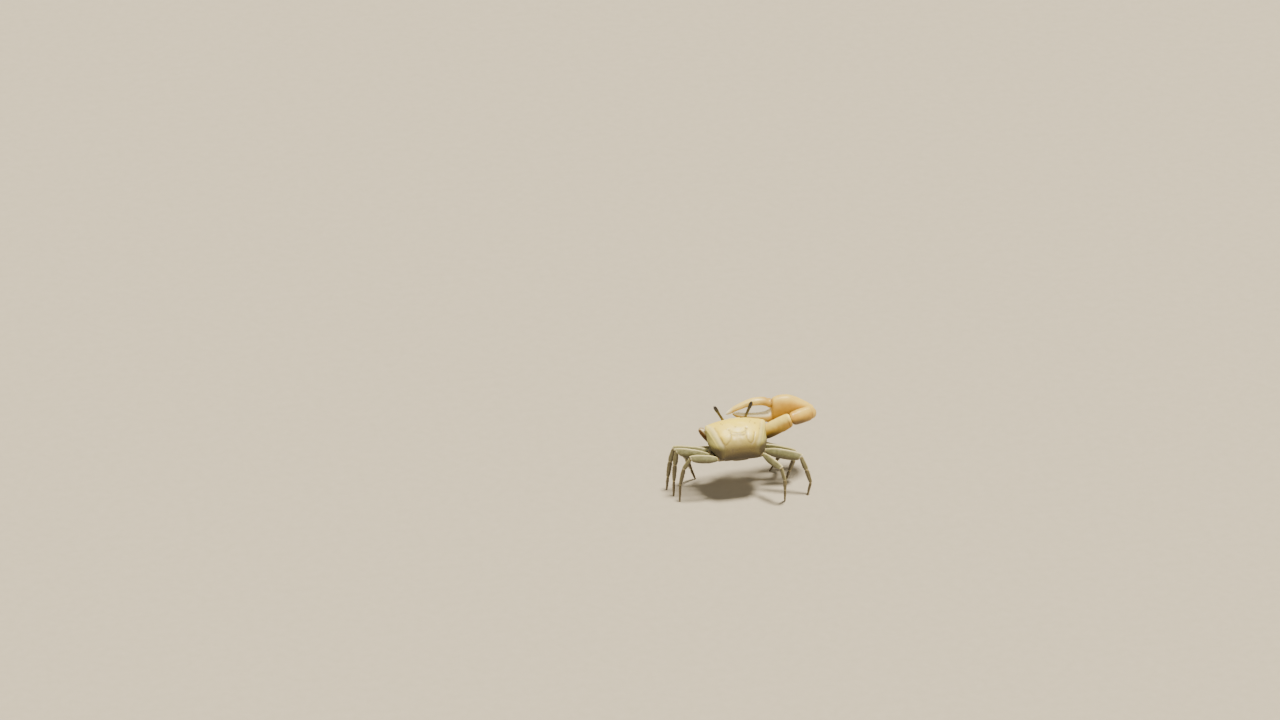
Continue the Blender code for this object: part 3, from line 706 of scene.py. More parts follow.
# Carapace cuticle: dry and chalky on top, so satin rather than wet, with pores and faint clouds.
# Its heart, rear, low and hollow layers are wholly or partly painted shade, its furrow layer partly, and
# its ridge layer partly painted highlight.
carapace = cuticle(
    "cream_carapace_cuticle", "#F6E059", "#EDD34A",
    (("yellow", "#FFE840", 0.9), ("heart", "#94864A", 0.85), ("flank", "#AAA865", 0.88),
     ("ridge", "#FCF6C4", 0.6), ("furrow", "#725F2A", 0.74), ("spot", "#664A20", 0.66),
     ("rear", "#4C4025", 0.93), ("low", "#2F2515", 0.92), ("hollow", "#5E4A28", 0.85)),
    ("#C4A95C", 0.45, 0.3), 0.42, coat=0.06)
piece("back_shell_cuticle", [tube(from_body(shell), shell_marks, SIDE)], carapace,
      ["back_shell"])

# %% [markdown]
# ## Limbs
# Each leg, arm and stalk is a chain of stiff tubes. A tube here is a section carried along a
# straight axis, sheared at each end onto the plane that halves the bend, so that neighbours
# face each other. Its near end is a small dome and its far end a rimmed cup, and the next
# tube's dome sits in that cup, as a real crab's joint does.

# %% One limb as a grid of rings
# Ends of a limb: (size as a share of the end section, push along the axis) of each ring
DOME = ((0.03, -0.42), (0.3, -0.40), (0.52, -0.33), (0.7, -0.2), (0.84, -0.06))
CUP = ((0.97, 0.05), (0.9, 0.05), (0.83, -0.02), (0.78, -0.2), (0.72, -0.42), (0.4, -0.52),
       (0.03, -0.54))
TIP = ((0.8, 0.0), (0.45, 0.0), (0.05, 0.0))


def bend_plane(a, b, c):
    """Normal of the plane halfway between the two lengths that meet at b."""
    return unit(unit(b - a) + unit(c - b))


def limb(start, end, table, up, cut_start=None, cut_end=None, rings=44, around=36, pinch=0.0,
         dome=DOME, cup=CUP):
    """Section carried along an axis. Each point is start + offset + axis * reach, and the reach
    is read between the two end planes, so that the end rings lie on them."""
    axis = unit(end - start)
    up = unit(up - axis * np.dot(up, axis))
    side = np.cross(axis, up)
    cut_start = axis if cut_start is None else cut_start
    cut_end = axis if cut_end is None else cut_end
    dome, cup = np.array(dome), np.array(cup)
    share = np.concatenate([np.zeros(len(dome)), np.linspace(0, 1, rings), np.ones(len(cup))])
    scale = np.concatenate([dome[:, 0], np.ones(rings), cup[:, 0]])
    push = np.concatenate([dome[:, 1], np.zeros(rings), cup[:, 1]])
    thick, high = (read(table, share) * scale[:, None]).T
    push = push * np.minimum(1, (table[0][1] + table[0][2]) / 1.6)
    c, s = superellipse(around)
    c = c * (1 - pinch * ramp(s, -0.1, 1.0))
    offset = side * (thick[:, None] * c)[..., None] + up * (high[:, None] * s)[..., None]
    near = (GAP / 2 - offset @ cut_start) / np.dot(axis, cut_start)
    far = np.linalg.norm(end - start) + (-GAP / 2 - offset @ cut_end) / np.dot(axis, cut_end)
    reach = near + (far - near) * share[:, None] + push[:, None]
    grid = start + offset + axis * reach[..., None]
    return {"grid": grid, "share": share[:, None], "top": s[None, :], "flat": c[None, :],
            "length": float(np.linalg.norm(end - start)), "scale": scale[:, None]}


def raised(shape, height):
    """The limb's grid moved outwards by a height."""
    grid = shape["grid"]
    return grid + outward(grid) * np.broadcast_to(height, grid.shape[:2])[..., None]


print("limb ends:", len(DOME), "rings in the dome,", len(CUP), "in the cup")

# %% [markdown]
# ## Breast plate and the first joints of the limbs
# The breast plate is built of fused rings, so it keeps a seam for each pair of legs. A plain
# box would do where it is hidden, but it shows from behind and from the sides. So it is a
# smooth curve through a few points of each section, with the seams pressed in. Every limb
# starts from it with two short ring-shaped joints, made as one short limb with a groove.

# %% Where the limbs start, bend and end
BREAST = (                            # (y, half width, lower z) of the plate
    (-5.2, 3.6, -8.9), (-4.2, 4.7, -9.3), (-2.0, 5.6, -9.4), (0.5, 5.9, -9.2),
    (2.6, 5.2, -8.5), (4.1, 4.3, -7.2), (5.2, 3.3, -6.1), (6.2, 3.1, -5.55),
)
BREAST_SEAMS = (-3.4, -1.3, 1.1, 3.2)  # y of the seams between its fused rings
LEG_BASE = {                          # inner end, outer end and radius of each leg's base
    1: ((5.0, -2.5, -8.5), (7.6, -1.6, -9.0), 0.95),
    2: ((5.2, -0.1, -8.3), (9.0, 0.4, -8.1), 1.0),
    3: ((5.0, 2.3, -8.0), (8.8, 2.8, -7.5), 1.1),
    4: ((3.8, 4.0, -7.2), (7.4, 5.2, -5.8), 0.85),
}
LEG_JOINTS = {                        # knee, wrist, heel and toe of each leg above the floor
    ("left", 1): ((16.5, -7.9, 13.2), (14.9, -9.4, 9.4), (13.1, -10.9, 4.6), (11.4, -11.8, 0)),
    ("left", 2): ((19.8, -6.1, 15.5), (20.8, -6.8, 10.8), (21.5, -7.1, 4.9), (21.8, -7.4, 0)),
    ("left", 3): ((19.6, -2.6, 16.5), (20.1, -3.0, 11.6), (20.4, -3.1, 5.6), (20.5, -2.9, 0)),
    ("left", 4): ((15.9, 1.2, 15.7), (18.0, 0.7, 12.0), (19.1, 0.4, 6.1), (19.3, 0.8, 0)),
    ("right", 1): ((-15.3, -6.9, 11.1), (-16.0, -9.0, 7.9), (-14.6, -10.5, 3.7), (-12.9, -11.6, 0)),
    ("right", 2): ((-18.5, -1.8, 12.2), (-18.8, -3.1, 8.5), (-17.7, -4.0, 4.2), (-16.6, -4.7, 0)),
    ("right", 3): ((-19.5, 3.7, 13.4), (-21.2, 4.4, 9.0), (-22.5, 5.0, 4.4), (-21.4, 5.4, 0)),
    ("right", 4): ((-11.9, 8.9, 13.3), (-12.9, 9.6, 9.3), (-13.3, 8.4, 4.8), (-13.6, 7.2, 0)),
}
# A limb's table: (share of its length, half thickness, half height). The base's is in radii.
STUB = ((0, 0.9, 0.9), (0.3, 1.0, 1.02), (0.52, 1.0, 1.0), (0.58, 0.86, 0.86), (0.64, 0.98, 0.98),
        (0.9, 0.95, 0.95), (1, 0.8, 0.8))
# Shoulder, elbow and wrist of the great claw; the same and the palm's end for the small one
ARM_JOINTS = from_back(((-6.3, -8.0, -7.5), (-17.9, -3.9, 0.6), (-25.4, -6.6, 0.8)))
SMALL_JOINTS = from_back(((7.0, -7.6, -7.4), (10.8, -6.7, -1.6), (9.6, -9.0, -3.3), (6.8, -10.4, -4.7)))
SMALL_TIP = from_back((3.2, -10.8, -6.6))
CLAW_ROOT = (2.9, -4.2, -8.2)         # where both arms start inside the breast, left side

feet = [joints[3][0] for joints in LEG_JOINTS.values()]
print("feet stand from X =", min(feet), "to", max(feet), "mm")

# %% Breast plate


def leg_points(side, number):
    """Inner end, base, knee, wrist, heel and toe of one leg, in the floor frame."""
    ends = [from_body(mirrored(end, side)) for end in LEG_BASE[number][:2]]
    return [*ends, *np.array(LEG_JOINTS[side, number], float)]


def scaled(table, thick, high):
    """A limb's table with its thickness and height multiplied."""
    return [(share, a * thick, b * high) for share, a, b in table]


def breast_grid():
    """Sections of the plate: a smooth curve through its upper edge, side, keel and back."""
    y = np.linspace(BREAST[0][0], BREAST[-1][0], 90)
    half, low = read(BREAST, y).T
    top = np.interp(y, [r[0] for r in SHELL], [r[7] for r in SHELL]) - GAP
    x = np.stack([0 * half, half * 0.6, half, half * 1.02, half * 0.8, half * 0.35, 0 * half])
    z = np.stack([top, top, top - 0.1, top * 0.4 + low * 0.6, low + 0.1, low - 0.03, low + 0.12])
    side = read(np.column_stack([np.arange(7.0), x, z]), np.linspace(0, 6, 61))
    x, z = side[:, :90].T, side[:, 90:].T
    x, z = np.hstack([x, -x[:, -2:0:-1]]), np.hstack([z, z[:, -2:0:-1]])
    grid = np.stack([x, np.broadcast_to(y[:, None], x.shape), z], axis=-1)
    seam = np.max([hump(y[:, None] - s + 0.12 * np.abs(x), 0.14) for s in BREAST_SEAMS], axis=0)
    seam = seam * ramp(np.abs(x), 0.8, 1.6)
    groove = hump(x, 0.22) * ramp(-z, 7.5, 8.5)
    height = -0.16 * seam - 0.12 * groove + 0.04 * lumps(grid, 2.0, 21)
    # low is painted shade: a little along the plate's upper side under the shell, strongly at its rear.
    marks = {"furrow": np.clip(seam + groove, 0, 1),
             "low": np.maximum(0.35 * ramp(z, -8.6, -7.0), 0.9 * ramp(grid[..., 1], 1.5, 4.2))}
    return tube(from_body(grid + outward(grid) * height[..., None]), marks)


plate = breast_grid()
print("breast plate", len(plate["points"]), "points")

# %% Bases of the legs and arms


def base_of_limb(inner, outer, radius, after, low, deeper=0.0):
    """Two short ring-shaped joints, from some way inside the breast plate out to a limb."""
    start = inner + (inner - outer) * deeper + (0, 0, deeper)
    shape = limb(start, outer, scaled(STUB, radius, radius), np.array([0, 0, 1.0]), None,
                 bend_plane(inner, outer, after), rings=30, around=32)
    groove = hump(shape["share"] - 0.58, 0.05)
    # low paints shade over the whole joint, as strongly as the argument asks.
    marks = {"furrow": groove, "pale": 0.3 * ramp(shape["share"], 0.85, 1.0), "low": low}
    return tube(raised(shape, 0.02 * lumps(shape["grid"], 0.8, 22)), marks)


# Underside cuticle: thin and little tanned, so paler than the back and slightly clearer.
# Its dark low layer is painted shade, under the shell and round the bases of the legs.
underside = cuticle(
    "ivory_underside_cuticle", "#DACC9C", "#CCBC88",
    (("low", "#33281A", 0.95), ("furrow", "#6A542C", 0.8), ("pale", "#EFE6C4", 0.7)),
    ("#B9A677", 0.5, 0.3), 0.38)
breast = [plate]
# Leg bases are painted dark as shade (low 1.0); the claws' bases get only a little (0.12).
for side in ("left", "right"):
    for number, base in LEG_BASE.items():
        points = leg_points(side, number)
        breast.append(base_of_limb(points[0], points[1], base[2], points[2], 1.0))
    joints = ARM_JOINTS if side == "right" else SMALL_JOINTS
    breast.append(base_of_limb(from_body(mirrored(CLAW_ROOT, side)), joints[0],
                               1.2 if side == "right" else 0.95, joints[1], 0.12, 0.35))
piece("breast_cuticle", breast, underside, ["breast_plate"])

# %% [markdown]
# ## Tail flap
# A crab's tail is folded flat under the breast plate, and a male's is a narrow strip of a few
# rings. A box bent round the plate would have hard edges and no rings. So a flat oval is carried
# along the line where the tail lies, and it is a little narrower and thinner at each seam.

# %% Tail flap
FLAP = (                              # (y, z, half width) along the middle of the flap, rear first
    (6.4, -5.5, 2.4), (6.05, -6.1, 2.6), (5.4, -6.9, 2.5), (4.4, -7.9, 2.2),
    (2.9, -9.15, 1.9), (1.2, -9.75, 1.6), (-0.4, -10.0, 1.35), (-1.6, -10.1, 0.9),
)
FLAP_THICK = 0.7
FLAP_SEAMS = (0.14, 0.27, 0.41, 0.55, 0.7, 0.86)   # share of the length


def flap_grid():
    """A flat strip: middle line + across * half width * c + out * half thickness * s, where width
    and thickness dip by a bell curve at each seam."""
    flap = np.array(FLAP)
    table = walk(flap[:, :2])
    at = np.linspace(0, table[-1, 0], 120)
    line = read(table, at)
    half = read(np.column_stack([table[:, 0], flap[:, 2]]), at)[:, 0]
    share = at / at[-1]
    seam = np.max([hump(share - s, 0.012) for s in FLAP_SEAMS], axis=0)
    middle = np.column_stack([0 * at, line])
    along = unit(np.gradient(middle, axis=0))
    out = np.cross(along, (1.0, 0, 0))
    end = np.sqrt(np.clip(1 - np.clip((share - 0.97) / 0.03, 0, 1) ** 2, 0.03, 1))
    c, s = superellipse(48, 3)
    across = (half * end * (1 - 0.05 * seam))[:, None] * c
    bulge = (FLAP_THICK / 2 * (1 - 0.3 * seam) * end)[:, None] * s * (1 - 0.25 * np.abs(c) ** 3)
    grid = middle[:, None] + across[..., None] * (1.0, 0, 0) + out[:, None] * bulge[..., None]
    # Painted shade: a little over the whole flap, strongly towards its rear under the shell's rim.
    low = 0.25 + 0.7 * ramp(line[:, :1], 2.0, 4.5)
    return tube(from_body(grid), {"furrow": seam[:, None], "low": low})


piece("tail_cuticle", [flap_grid()], underside, ["tail_flap"])

# %% [markdown]
# ## Jaw feet
# Two plates close the mouth like a pair of doors, each with a slanting seam and a thin feeler
# beside it. They could be cut from one plate, but a real pair moves apart. So each is a stack
# of ovals, and the right one is the left one mirrored before it is closed.

# %% Jaw feet
JAW = (                               # (z, inner x, outer x, bulge) of a jaw foot's plate
    (-4.45, 0.45, 2.0, 0.25), (-4.9, 0.2, 2.9, 0.5), (-6.4, 0.15, 3.4, 0.7), (-8.0, 0.15, 3.2, 0.65),
    (-8.9, 0.2, 2.5, 0.4), (-9.2, 0.5, 1.9, 0.25),
)
JAW_ROD = ((3.75, -6.75, -8.6), (4.0, -6.95, -7.0), (3.85, -7.15, -5.6), (3.3, -7.3, -4.7))
ROD_SIZE = ((0, 0.2, 0.2), (0.5, 0.3, 0.3), (1, 0.14, 0.14))


def sweep(path, sizes, rings, around):
    """An oval carried along a smooth path: centre + side * width * c + up * height * s."""
    table = walk(path)
    at = np.linspace(0, table[-1, 0], rings)
    centre = read(table, at)
    share = at / at[-1]
    width, height = read(sizes, share).T
    ends = np.sqrt(np.clip(1 - (np.abs(share - 0.5) * 2) ** 24, 0.02, 1))
    along = unit(np.gradient(centre, axis=0))
    level = unit(np.cross(along, (0.13, 0.21, 0.97)))
    up = np.cross(level, along)
    c, s = superellipse(around)
    return (centre[:, None] + level[:, None] * ((width * ends)[:, None] * c)[..., None]
            + up[:, None] * ((height * ends)[:, None] * s)[..., None])


def jaw_plate(side):
    """Door-shaped plate: ovals stacked in z, with a slanted seam between its two joints."""
    z = np.linspace(JAW[-1][0], JAW[0][0], 80)
    inner, outer, bulge = read(JAW[::-1], z).T
    c, s = superellipse(56, 2.6)
    x = ((inner + outer) / 2)[:, None] + ((outer - inner) / 2)[:, None] * c
    y = (-7.25 + 0.13 * (-4.4 - z))[:, None] + bulge[:, None] * s
    grid = np.stack([x, y, np.broadcast_to(z[:, None], x.shape)], axis=-1)
    seam = hump(grid[..., 2] + 6.0 + 0.25 * (x - 1.7), 0.09)
    fold = hump(x - 0.9, 0.16) * ramp(-grid[..., 2], 6.2, 6.8)
    height = -0.13 * seam - 0.08 * fold + 0.025 * lumps(grid, 1.0, 23)
    # The low layer darkens the plate towards its lower end, and the feeler a little.
    marks = {"furrow": np.clip(seam + 0.6 * fold, 0, 1), "low": 0.4 * ramp(-grid[..., 2], 7.5, 9.2)}
    body = tube(mirrored(from_body(grid + outward(grid) * height[..., None]), side), marks)
    rod = sweep(mirrored(from_body(JAW_ROD), side), ROD_SIZE, 40, 16)
    return [body, tube(rod, {"low": 0.3})]


for side in ("left", "right"):
    piece(f"{side}_jaw_foot_cuticle", jaw_plate(side), underside, [f"{side}_mouth_plate"])

# %% [markdown]
# ## Walking legs
# Four pairs, each of four visible tubes: a broad flat thigh (merus), a short carpus, then
# propodus and a pointed dactyl. The thigh's upper edge is thin and finely notched and catches
# the light; its faces carry short raised lines. The lower tubes are grooved along their length.
# One bent tube for a whole leg would lose its joints, so each segment is a limb of its own, with
# a soft sleeve where two of them meet.

# %% Measures of the legs
# Half height of each pair's thigh, and how stout its lower tubes are
LEG_SIZE = {1: (1.35, 0.92), 2: (1.65, 1.0), 3: (1.75, 0.94), 4: (1.5, 0.88)}
MERUS = ((0, 0.62, 0.5), (0.12, 0.8, 0.72), (0.38, 1.0, 1.0), (0.68, 1.0, 1.0), (0.9, 0.95, 0.84),
         (1, 0.76, 0.64))
CARPUS = ((0, 0.52, 0.6), (0.2, 0.64, 0.76), (0.75, 0.68, 0.86), (1, 0.56, 0.7))
PROPODUS = ((0, 0.5, 0.62), (0.18, 0.58, 0.76), (0.6, 0.52, 0.7), (0.9, 0.44, 0.56), (1, 0.38, 0.46))
DACTYL = ((0, 0.36, 0.42), (0.25, 0.4, 0.46), (0.7, 0.31, 0.36), (1, 0.24, 0.26))
# The brown of the lower tubes is partly their own colour and partly painted shade.
SEGMENTS = (("merus", MERUS, 0.0), ("carpus", CARPUS, 0.5), ("propodus", PROPODUS, 0.8),
            ("dactyl", DACTYL, 0.95))   # name, table of sizes, how brown
MERUS_THICK = 0.85                    # a thigh is flat: as thick as this, whatever its height
SLEEVE = ((0, 0.8, 0.8), (0.25, 0.97, 0.97), (0.5, 0.86, 0.86), (0.75, 0.97, 0.97), (1, 0.8, 0.8))
SLEEVE_REACH, SLEEVE_SIZE = 0.5, 0.93  # mm into each neighbour, and size next to the tube it enters
NOTCH_PITCH, LINE_PITCH = 0.36, 0.5   # mm between the notches of an edge and the lines of a face
coat = []                             # (name, shape, column) of each limb on which bristles grow
tissue = []                           # soft tissue in the joints

print("thighs", {pair: f"{2 * high} mm high" for pair, (high, _) in LEG_SIZE.items()})

# %% Soft sleeve of a joint, and the relief of a leg's tubes


def joint_tissue(point, axis, up, normal, thick, high):
    """Wrinkled soft sleeve that bridges the gap between two tubes, sheared onto the bend plane."""
    reach = axis * SLEEVE_REACH
    shape = limb(point - reach, point + reach, scaled(SLEEVE, thick, high), up, normal, normal,
                 rings=17, around=24, dome=TIP[::-1], cup=TIP)
    # Painted shade in the fold at the middle of the sleeve.
    return tube(shape["grid"], {"wrinkle": hump(shape["share"] - 0.5, 0.12)})


def leg_segment(name, shape, brown, seed):
    """Relief and marks of one tube of a leg: cosine waves along its edges and over its faces,
    each faded by soft steps, and a bell curve for the rim at its far end."""
    share, top, grid = shape["share"], shape["top"], shape["grid"]
    along = share * shape["length"]
    crest, keel = ramp(top, 0.8, 1.0), ramp(-top, 0.8, 1.0)
    notch = 0.5 + 0.5 * np.cos(2 * math.pi * along / NOTCH_PITCH)
    body = ramp(share, 0.03, 0.12) * ramp(-share, -0.97, -0.88)
    face = ramp(-np.abs(top), -0.85, -0.55)
    rim = hump(share - 0.985, 0.03) * (shape["scale"] > 0.95) * (name != "dactyl")
    if name == "merus":
        lines = along + 0.12 * lumps(grid, 1.6, seed)
        lines = ramp(np.cos(2 * math.pi * lines / LINE_PITCH), 0.5, 1.0)
        height = body * (0.07 * crest * notch + 0.05 * keel * notch + 0.022 * lines * face)
    else:
        flute = np.cos(3 * np.arcsin(np.clip(top, -1, 1)) * 2)
        height = body * (0.05 * flute * face + 0.03 * crest * notch)
    height = height + 0.05 * rim + 0.02 * lumps(grid, 1.3, seed + 1) * body
    ends = np.maximum(ramp(share, 0.95, 0.99) * (name != "dactyl"), 0.5 * ramp(-share, -0.02, 0.0))
    ends = ends * ramp(lumps(grid, 0.8, seed + 3), -1.2, 0.6) * (0.4 + 0.6 * ramp(top, -0.5, 0.6))
    marks = {
        "brown": brown,
        # Painted highlight along the upper edge.
        "pale": 0.8 * ramp(top, 0.72, 1.0) * (1 - 0.8 * brown),
        "joint": ends * (1 - 0.5 * brown),
        # Painted shade on the lower side.
        "under": ramp(-top, -0.35, 0.7),
        "furrow": np.clip(body * face * (0.35 if name == "merus" else 0.5)
                          * ramp(lumps(grid * (1, 1, 0.5), 0.9, seed + 2), 0.2, 1.0), 0, 1),
    }
    skin = raised(shape, height)
    skin[..., 2] = np.maximum(skin[..., 2], 0)
    return tube(skin, marks)


# Leg cuticle: thinner than the back's and grey-green from the tissue behind it, with cream joints.
# Its pale layer is a painted highlight on upper edges, its under layer painted shade, and its brown layer
# partly painted shade.
leg_finish = cuticle(
    "grey_green_leg_cuticle", "#8B8B65", "#75754F",
    (("brown", "#54452E", 0.9), ("furrow", "#4E4730", 0.55), ("under", "#382D1A", 0.88),
     ("pale", "#D9CF94", 0.75), ("joint", "#EFE5C0", 0.8)),
    ("#574F33", 0.3, 0.45), 0.36, cloud_size=1.1)

# %% The eight legs
for side, number in LEG_JOINTS:
    points = leg_points(side, number)
    high, rest = LEG_SIZE[number]
    turn = np.cross(unit(points[2] - points[1]), unit(points[3] - points[2]))
    for i, (name, table, brown) in enumerate(SEGMENTS):
        a, b = points[i + 1], points[i + 2]
        sizes = scaled(table, MERUS_THICK, high) if name == "merus" else scaled(table, rest, rest)
        up = np.cross(unit(b - a), turn)
        cut_a = bend_plane(points[i], a, b)
        seed = 100 * number + 10 * i + (side == "right")
        if name == "dactyl":          # its end lies flat on the floor
            shape = limb(a, b - (0, 0, GAP / 2), sizes, up, cut_a, np.array([0, 0, -1.0]),
                         around=28, cup=TIP)
        else:
            rings, around = (80, 48) if name == "merus" else (50, 36)
            shape = limb(a, b, sizes, up, cut_a, bend_plane(a, b, points[i + 3]),
                         rings, around, pinch=0.35)
        node = f"{side}_leg_{number}_{name}"
        piece(node + "_cuticle", [leg_segment(name, shape, brown, seed)], leg_finish, [node])
        coat.append((name, shape, len(coat)))
        tissue.append(joint_tissue(a, unit(b - a), up, cut_a,
                                   sizes[0][1] * SLEEVE_SIZE, sizes[0][2] * SLEEVE_SIZE))

# %% [markdown]
# ## Antennae
# A crab's antennae are short: two stout joints, then a whip of many small rings that thins to a
# hair. A plain cone would do from afar. Here an oval is carried along a bent path, and a fine
# wave in its radius gives the rings. It has the legs' finish, since its cuticle is as thin.

# %% Antennae
ANTENNA = ((2.8, -6.9, -3.75), (3.1, -7.25, -4.1), (3.35, -7.55, -4.5), (3.7, -7.9, -5.0))
# Radius along the antenna: (share of the length, radius), and the rings of its whip
ANTENNA_RADIUS = ((0, 0.3), (0.22, 0.32), (0.27, 0.22), (0.42, 0.24), (0.48, 0.14), (1, 0.05))
WHIP_START, WHIP_RINGS, RING_DEPTH = 0.45, 16, 0.01


def antenna(side):
    """Two stout joints and a whip: the radius is read from a table, plus a small cosine wave."""
    share = np.linspace(0, 1, 90)
    ring = RING_DEPTH * np.cos(2 * math.pi * share * WHIP_RINGS) * (share > WHIP_START)
    size = np.interp(share, *zip(*ANTENNA_RADIUS)) + ring
    whip = sweep(mirrored(from_body(ANTENNA), side), np.column_stack([share, size, size]), 120, 16)
    return tube(whip, {"brown": 0.5, "pale": 0.1})


for side in ("left", "right"):
    piece(f"{side}_antenna_cuticle", [antenna(side)], leg_finish, [f"{side}_antenna"])

# %% [markdown]
# ## Eyes
# Each eye stands on a long thin stalk that folds into its trough. The stalk is a slim limb
# with a collar, and the cornea is a longer, slightly wider cap of clear cuticle over dark
# pigment. It looks nearly black, with a soft gloss and facets too small to see one by one. A
# ball on a stick would be quicker, but a fiddler's eye is longer than wide and clasps its stalk.

# %% Eye stalks and corneas
EYE_FOOT = SOCKET                     # in the body frame, mirrored for the right eye
EYE_TOP = {"left": (5.65, -7.1, 4.9), "right": (-5.1, -7.1, 5.1)}   # top of the stalk, above the back
STALK_RADIUS = 0.48
CORNEA, CAP_LAP = 2.05, 0.5           # length of the cornea, and how far it reaches down over the stalk

# Stalk cuticle: thin and smooth over dark pigment, so it looks olive brown and a little shiny.
stalk_finish = cuticle(
    "olive_brown_stalk_cuticle", "#463A21", "#352B16",
    (("furrow", "#2C2312", 0.7), ("pale", "#8F7E4E", 0.6)),
    ("#2A2110", 0.3, 0.4), 0.33, cloud_size=0.9)


def cornea_material():
    """Cornea: clear smooth cuticle over dark pigment; the facets, 0.03 mm across in life, are
    drawn 0.09 mm across so that a faint net of them shows."""
    material, tree, place = new_material("dark_faceted_cornea")
    depth = add(tree, "TexNoise", {}, {"Vector": place, "Scale": per_mm(0.9)})["Fac"]
    colour = add(tree, "Mix", COLOURS, {0: depth, 6: linear("#17110A"), 7: linear("#2C2212")})[2]
    net = add(tree, "TexVoronoi", {}, {"Vector": place, "Scale": per_mm(0.09)})["Distance"]
    bump = add(tree, "Bump", {"invert": True}, {"Height": net, "Strength": 0.25, "Distance": 0.01 * MM})
    feed(tree, {"Base Color": colour, "Roughness": 0.34, "Normal": bump["Normal"], "IOR": CHITIN_IOR,
                "Coat Weight": 0.3, "Coat Roughness": 0.16})
    return material


# Stalk and cornea as limbs, in stalk radii
STALK = ((0, 0.85, 0.85), (0.06, 1.05, 1.05), (0.16, 0.94, 0.94), (0.5, 0.86, 0.9), (0.86, 0.98, 1.0),
         (0.93, 1.04, 1.04), (1, 0.9, 0.9))
CAP = ((0, 1.12, 1.12), (0.06, 1.2, 1.2), (0.2, 1.23, 1.23), (0.4, 1.27, 1.27), (0.62, 1.2, 1.2),
       (0.82, 0.95, 0.95), (0.94, 0.62, 0.62), (1, 0.34, 0.34))
CAP_START = ((0.3, 0.15), (0.7, 0.1), (0.93, 0.0))
CAP_TIP = ((0.7, 0.04), (0.35, 0.07), (0.03, 0.08))

cornea_finish = cornea_material()
for side in ("left", "right"):
    foot, top = from_body(mirrored(EYE_FOOT, side)), from_back(EYE_TOP[side])
    along, forward = unit(top - foot), np.array([0, 1.0, 0])
    shape = limb(foot, top, scaled(STALK, STALK_RADIUS, STALK_RADIUS), forward, rings=90, around=32)
    bands = hump(shape["share"] - 0.14, 0.02) + hump(shape["share"] - 0.9, 0.012)
    marks = {"furrow": np.clip(bands + ramp(np.abs(shape["flat"]), 0.92, 1) * 0.3, 0, 1),
             "pale": ramp(-shape["share"], -0.55, -0.05)}
    height = 0.012 * lumps(shape["grid"], 0.5, 31) - 0.03 * bands
    piece(f"{side}_eyestalk_cuticle", [tube(raised(shape, height), marks)], stalk_finish,
          [f"{side}_eyestalk"])
    shape = limb(top - along * CAP_LAP, top + along * CORNEA, scaled(CAP, STALK_RADIUS, STALK_RADIUS),
                 forward, rings=48, around=40, dome=CAP_START, cup=CAP_TIP)
    piece(f"{side}_eye_cornea", [tube(shape["grid"], {})], cornea_finish, [f"{side}_eye"])

# %% [markdown]
# ## The great claw: arm and wrist
# A male's one huge claw is held across the front, on a stout arm and a wrist that turns it back
# inwards. Both are limbs as the legs are, but thicker, with low grains on the upper half. The
# wrist ends in a knuckle that bends into the palm, so an oval is carried round that bend.

# %% Arm and wrist of the great claw
# (share, half thickness, half height) in mm
ARM = ((0, 1.0, 0.95), (0.12, 1.35, 1.5), (0.3, 1.65, 2.2), (0.55, 1.85, 2.55), (0.8, 1.9, 2.55),
       (0.94, 1.85, 2.35), (1, 1.5, 1.85))
WRIST = ((0, 1.5, 1.8), (0.12, 1.8, 2.25), (0.5, 1.85, 2.45), (0.85, 1.6, 2.4), (1, 1.1, 1.9))
KNUCKLE = from_back(((-24.3, -6.3, 0.3), (-25.3, -7.0, 0.1), (-25.9, -8.0, -0.3), (-25.6, -9.4, -0.5)))
KNUCKLE_SIZE = ((0, 1.35, 1.8), (0.35, 1.45, 1.75), (0.7, 1.15, 1.5), (1, 0.9, 1.2))
TILTED_UP = np.array([0.3, 0, 1.0])
ARM_RADIUS = 2.1                      # turns an angle round the arm into mm, for its grains

# Claw cuticle: the thickest of all, warm and polished by use, whiter where it bites.
claw_finish = cuticle(
    # Its under layer and its darkest layer are painted shade on the lower sides, and its pale layer is
    # mostly a painted highlight on the tops of arm, wrist, palm and finger.
    "golden_claw_cuticle", "#DFB43E", "#D0A134",
    (("tan", "#EBD58C", 0.75), ("orange", "#AA7E24", 0.78), ("under", "#6A4820", 0.88),
     ("dusk", "#33251B", 0.9), ("furrow", "#87592A", 0.6), ("pale", "#FFEC7C", 0.88),
     ("ivory", "#FFFAE0", 0.97)),
    ("#B07F3A", 0.5, 0.3), 0.42, coat=0.05, cloud_size=2.4)


def arm_part(shape, seed, orange, pale):
    """Relief of arm or wrist: grains times a soft step of the height, plus lumps, plus a bell
    curve for the rim; the marks are soft steps of height and length."""
    share, top, grid = shape["share"], shape["top"], shape["grid"]
    body = ramp(share, 0.05, 0.15) * ramp(-share, -0.96, -0.88)
    around = np.arctan2(top, shape["flat"]) * ARM_RADIUS
    grit = grains(share * shape["length"], around, 0.55, 0.24, seed)
    rim = hump(share - 0.975, 0.03) * (shape["scale"] > 0.95)
    height = body * (0.05 * grit * ramp(top, -0.1, 0.7) + 0.04 * lumps(grid, 2.2, seed)) + 0.07 * rim
    # Painted shade, deepest low down near the shoulder.
    dusk = ramp(-top + 0.5 * (1 - share), -0.02, 0.68) * ramp(-share, -1.05, -0.3)
    marks = {
        "orange": orange * (0.4 + 0.6 * ramp(-np.abs(top), -0.6, 0.2)),
        # Painted highlight on the upper side.
        "pale": pale * ramp(top, 0.0, 0.75) * ramp(share, 0.1, 0.5),
        # Painted shade on the lower side.
        "under": ramp(-top, -0.15, 0.6) * ramp(-share, -1.3, -0.2),
        "dusk": (1 - 0.5 * orange) * dusk,
        "furrow": hump(share - 0.93, 0.018),
    }
    return tube(raised(shape, height), marks)


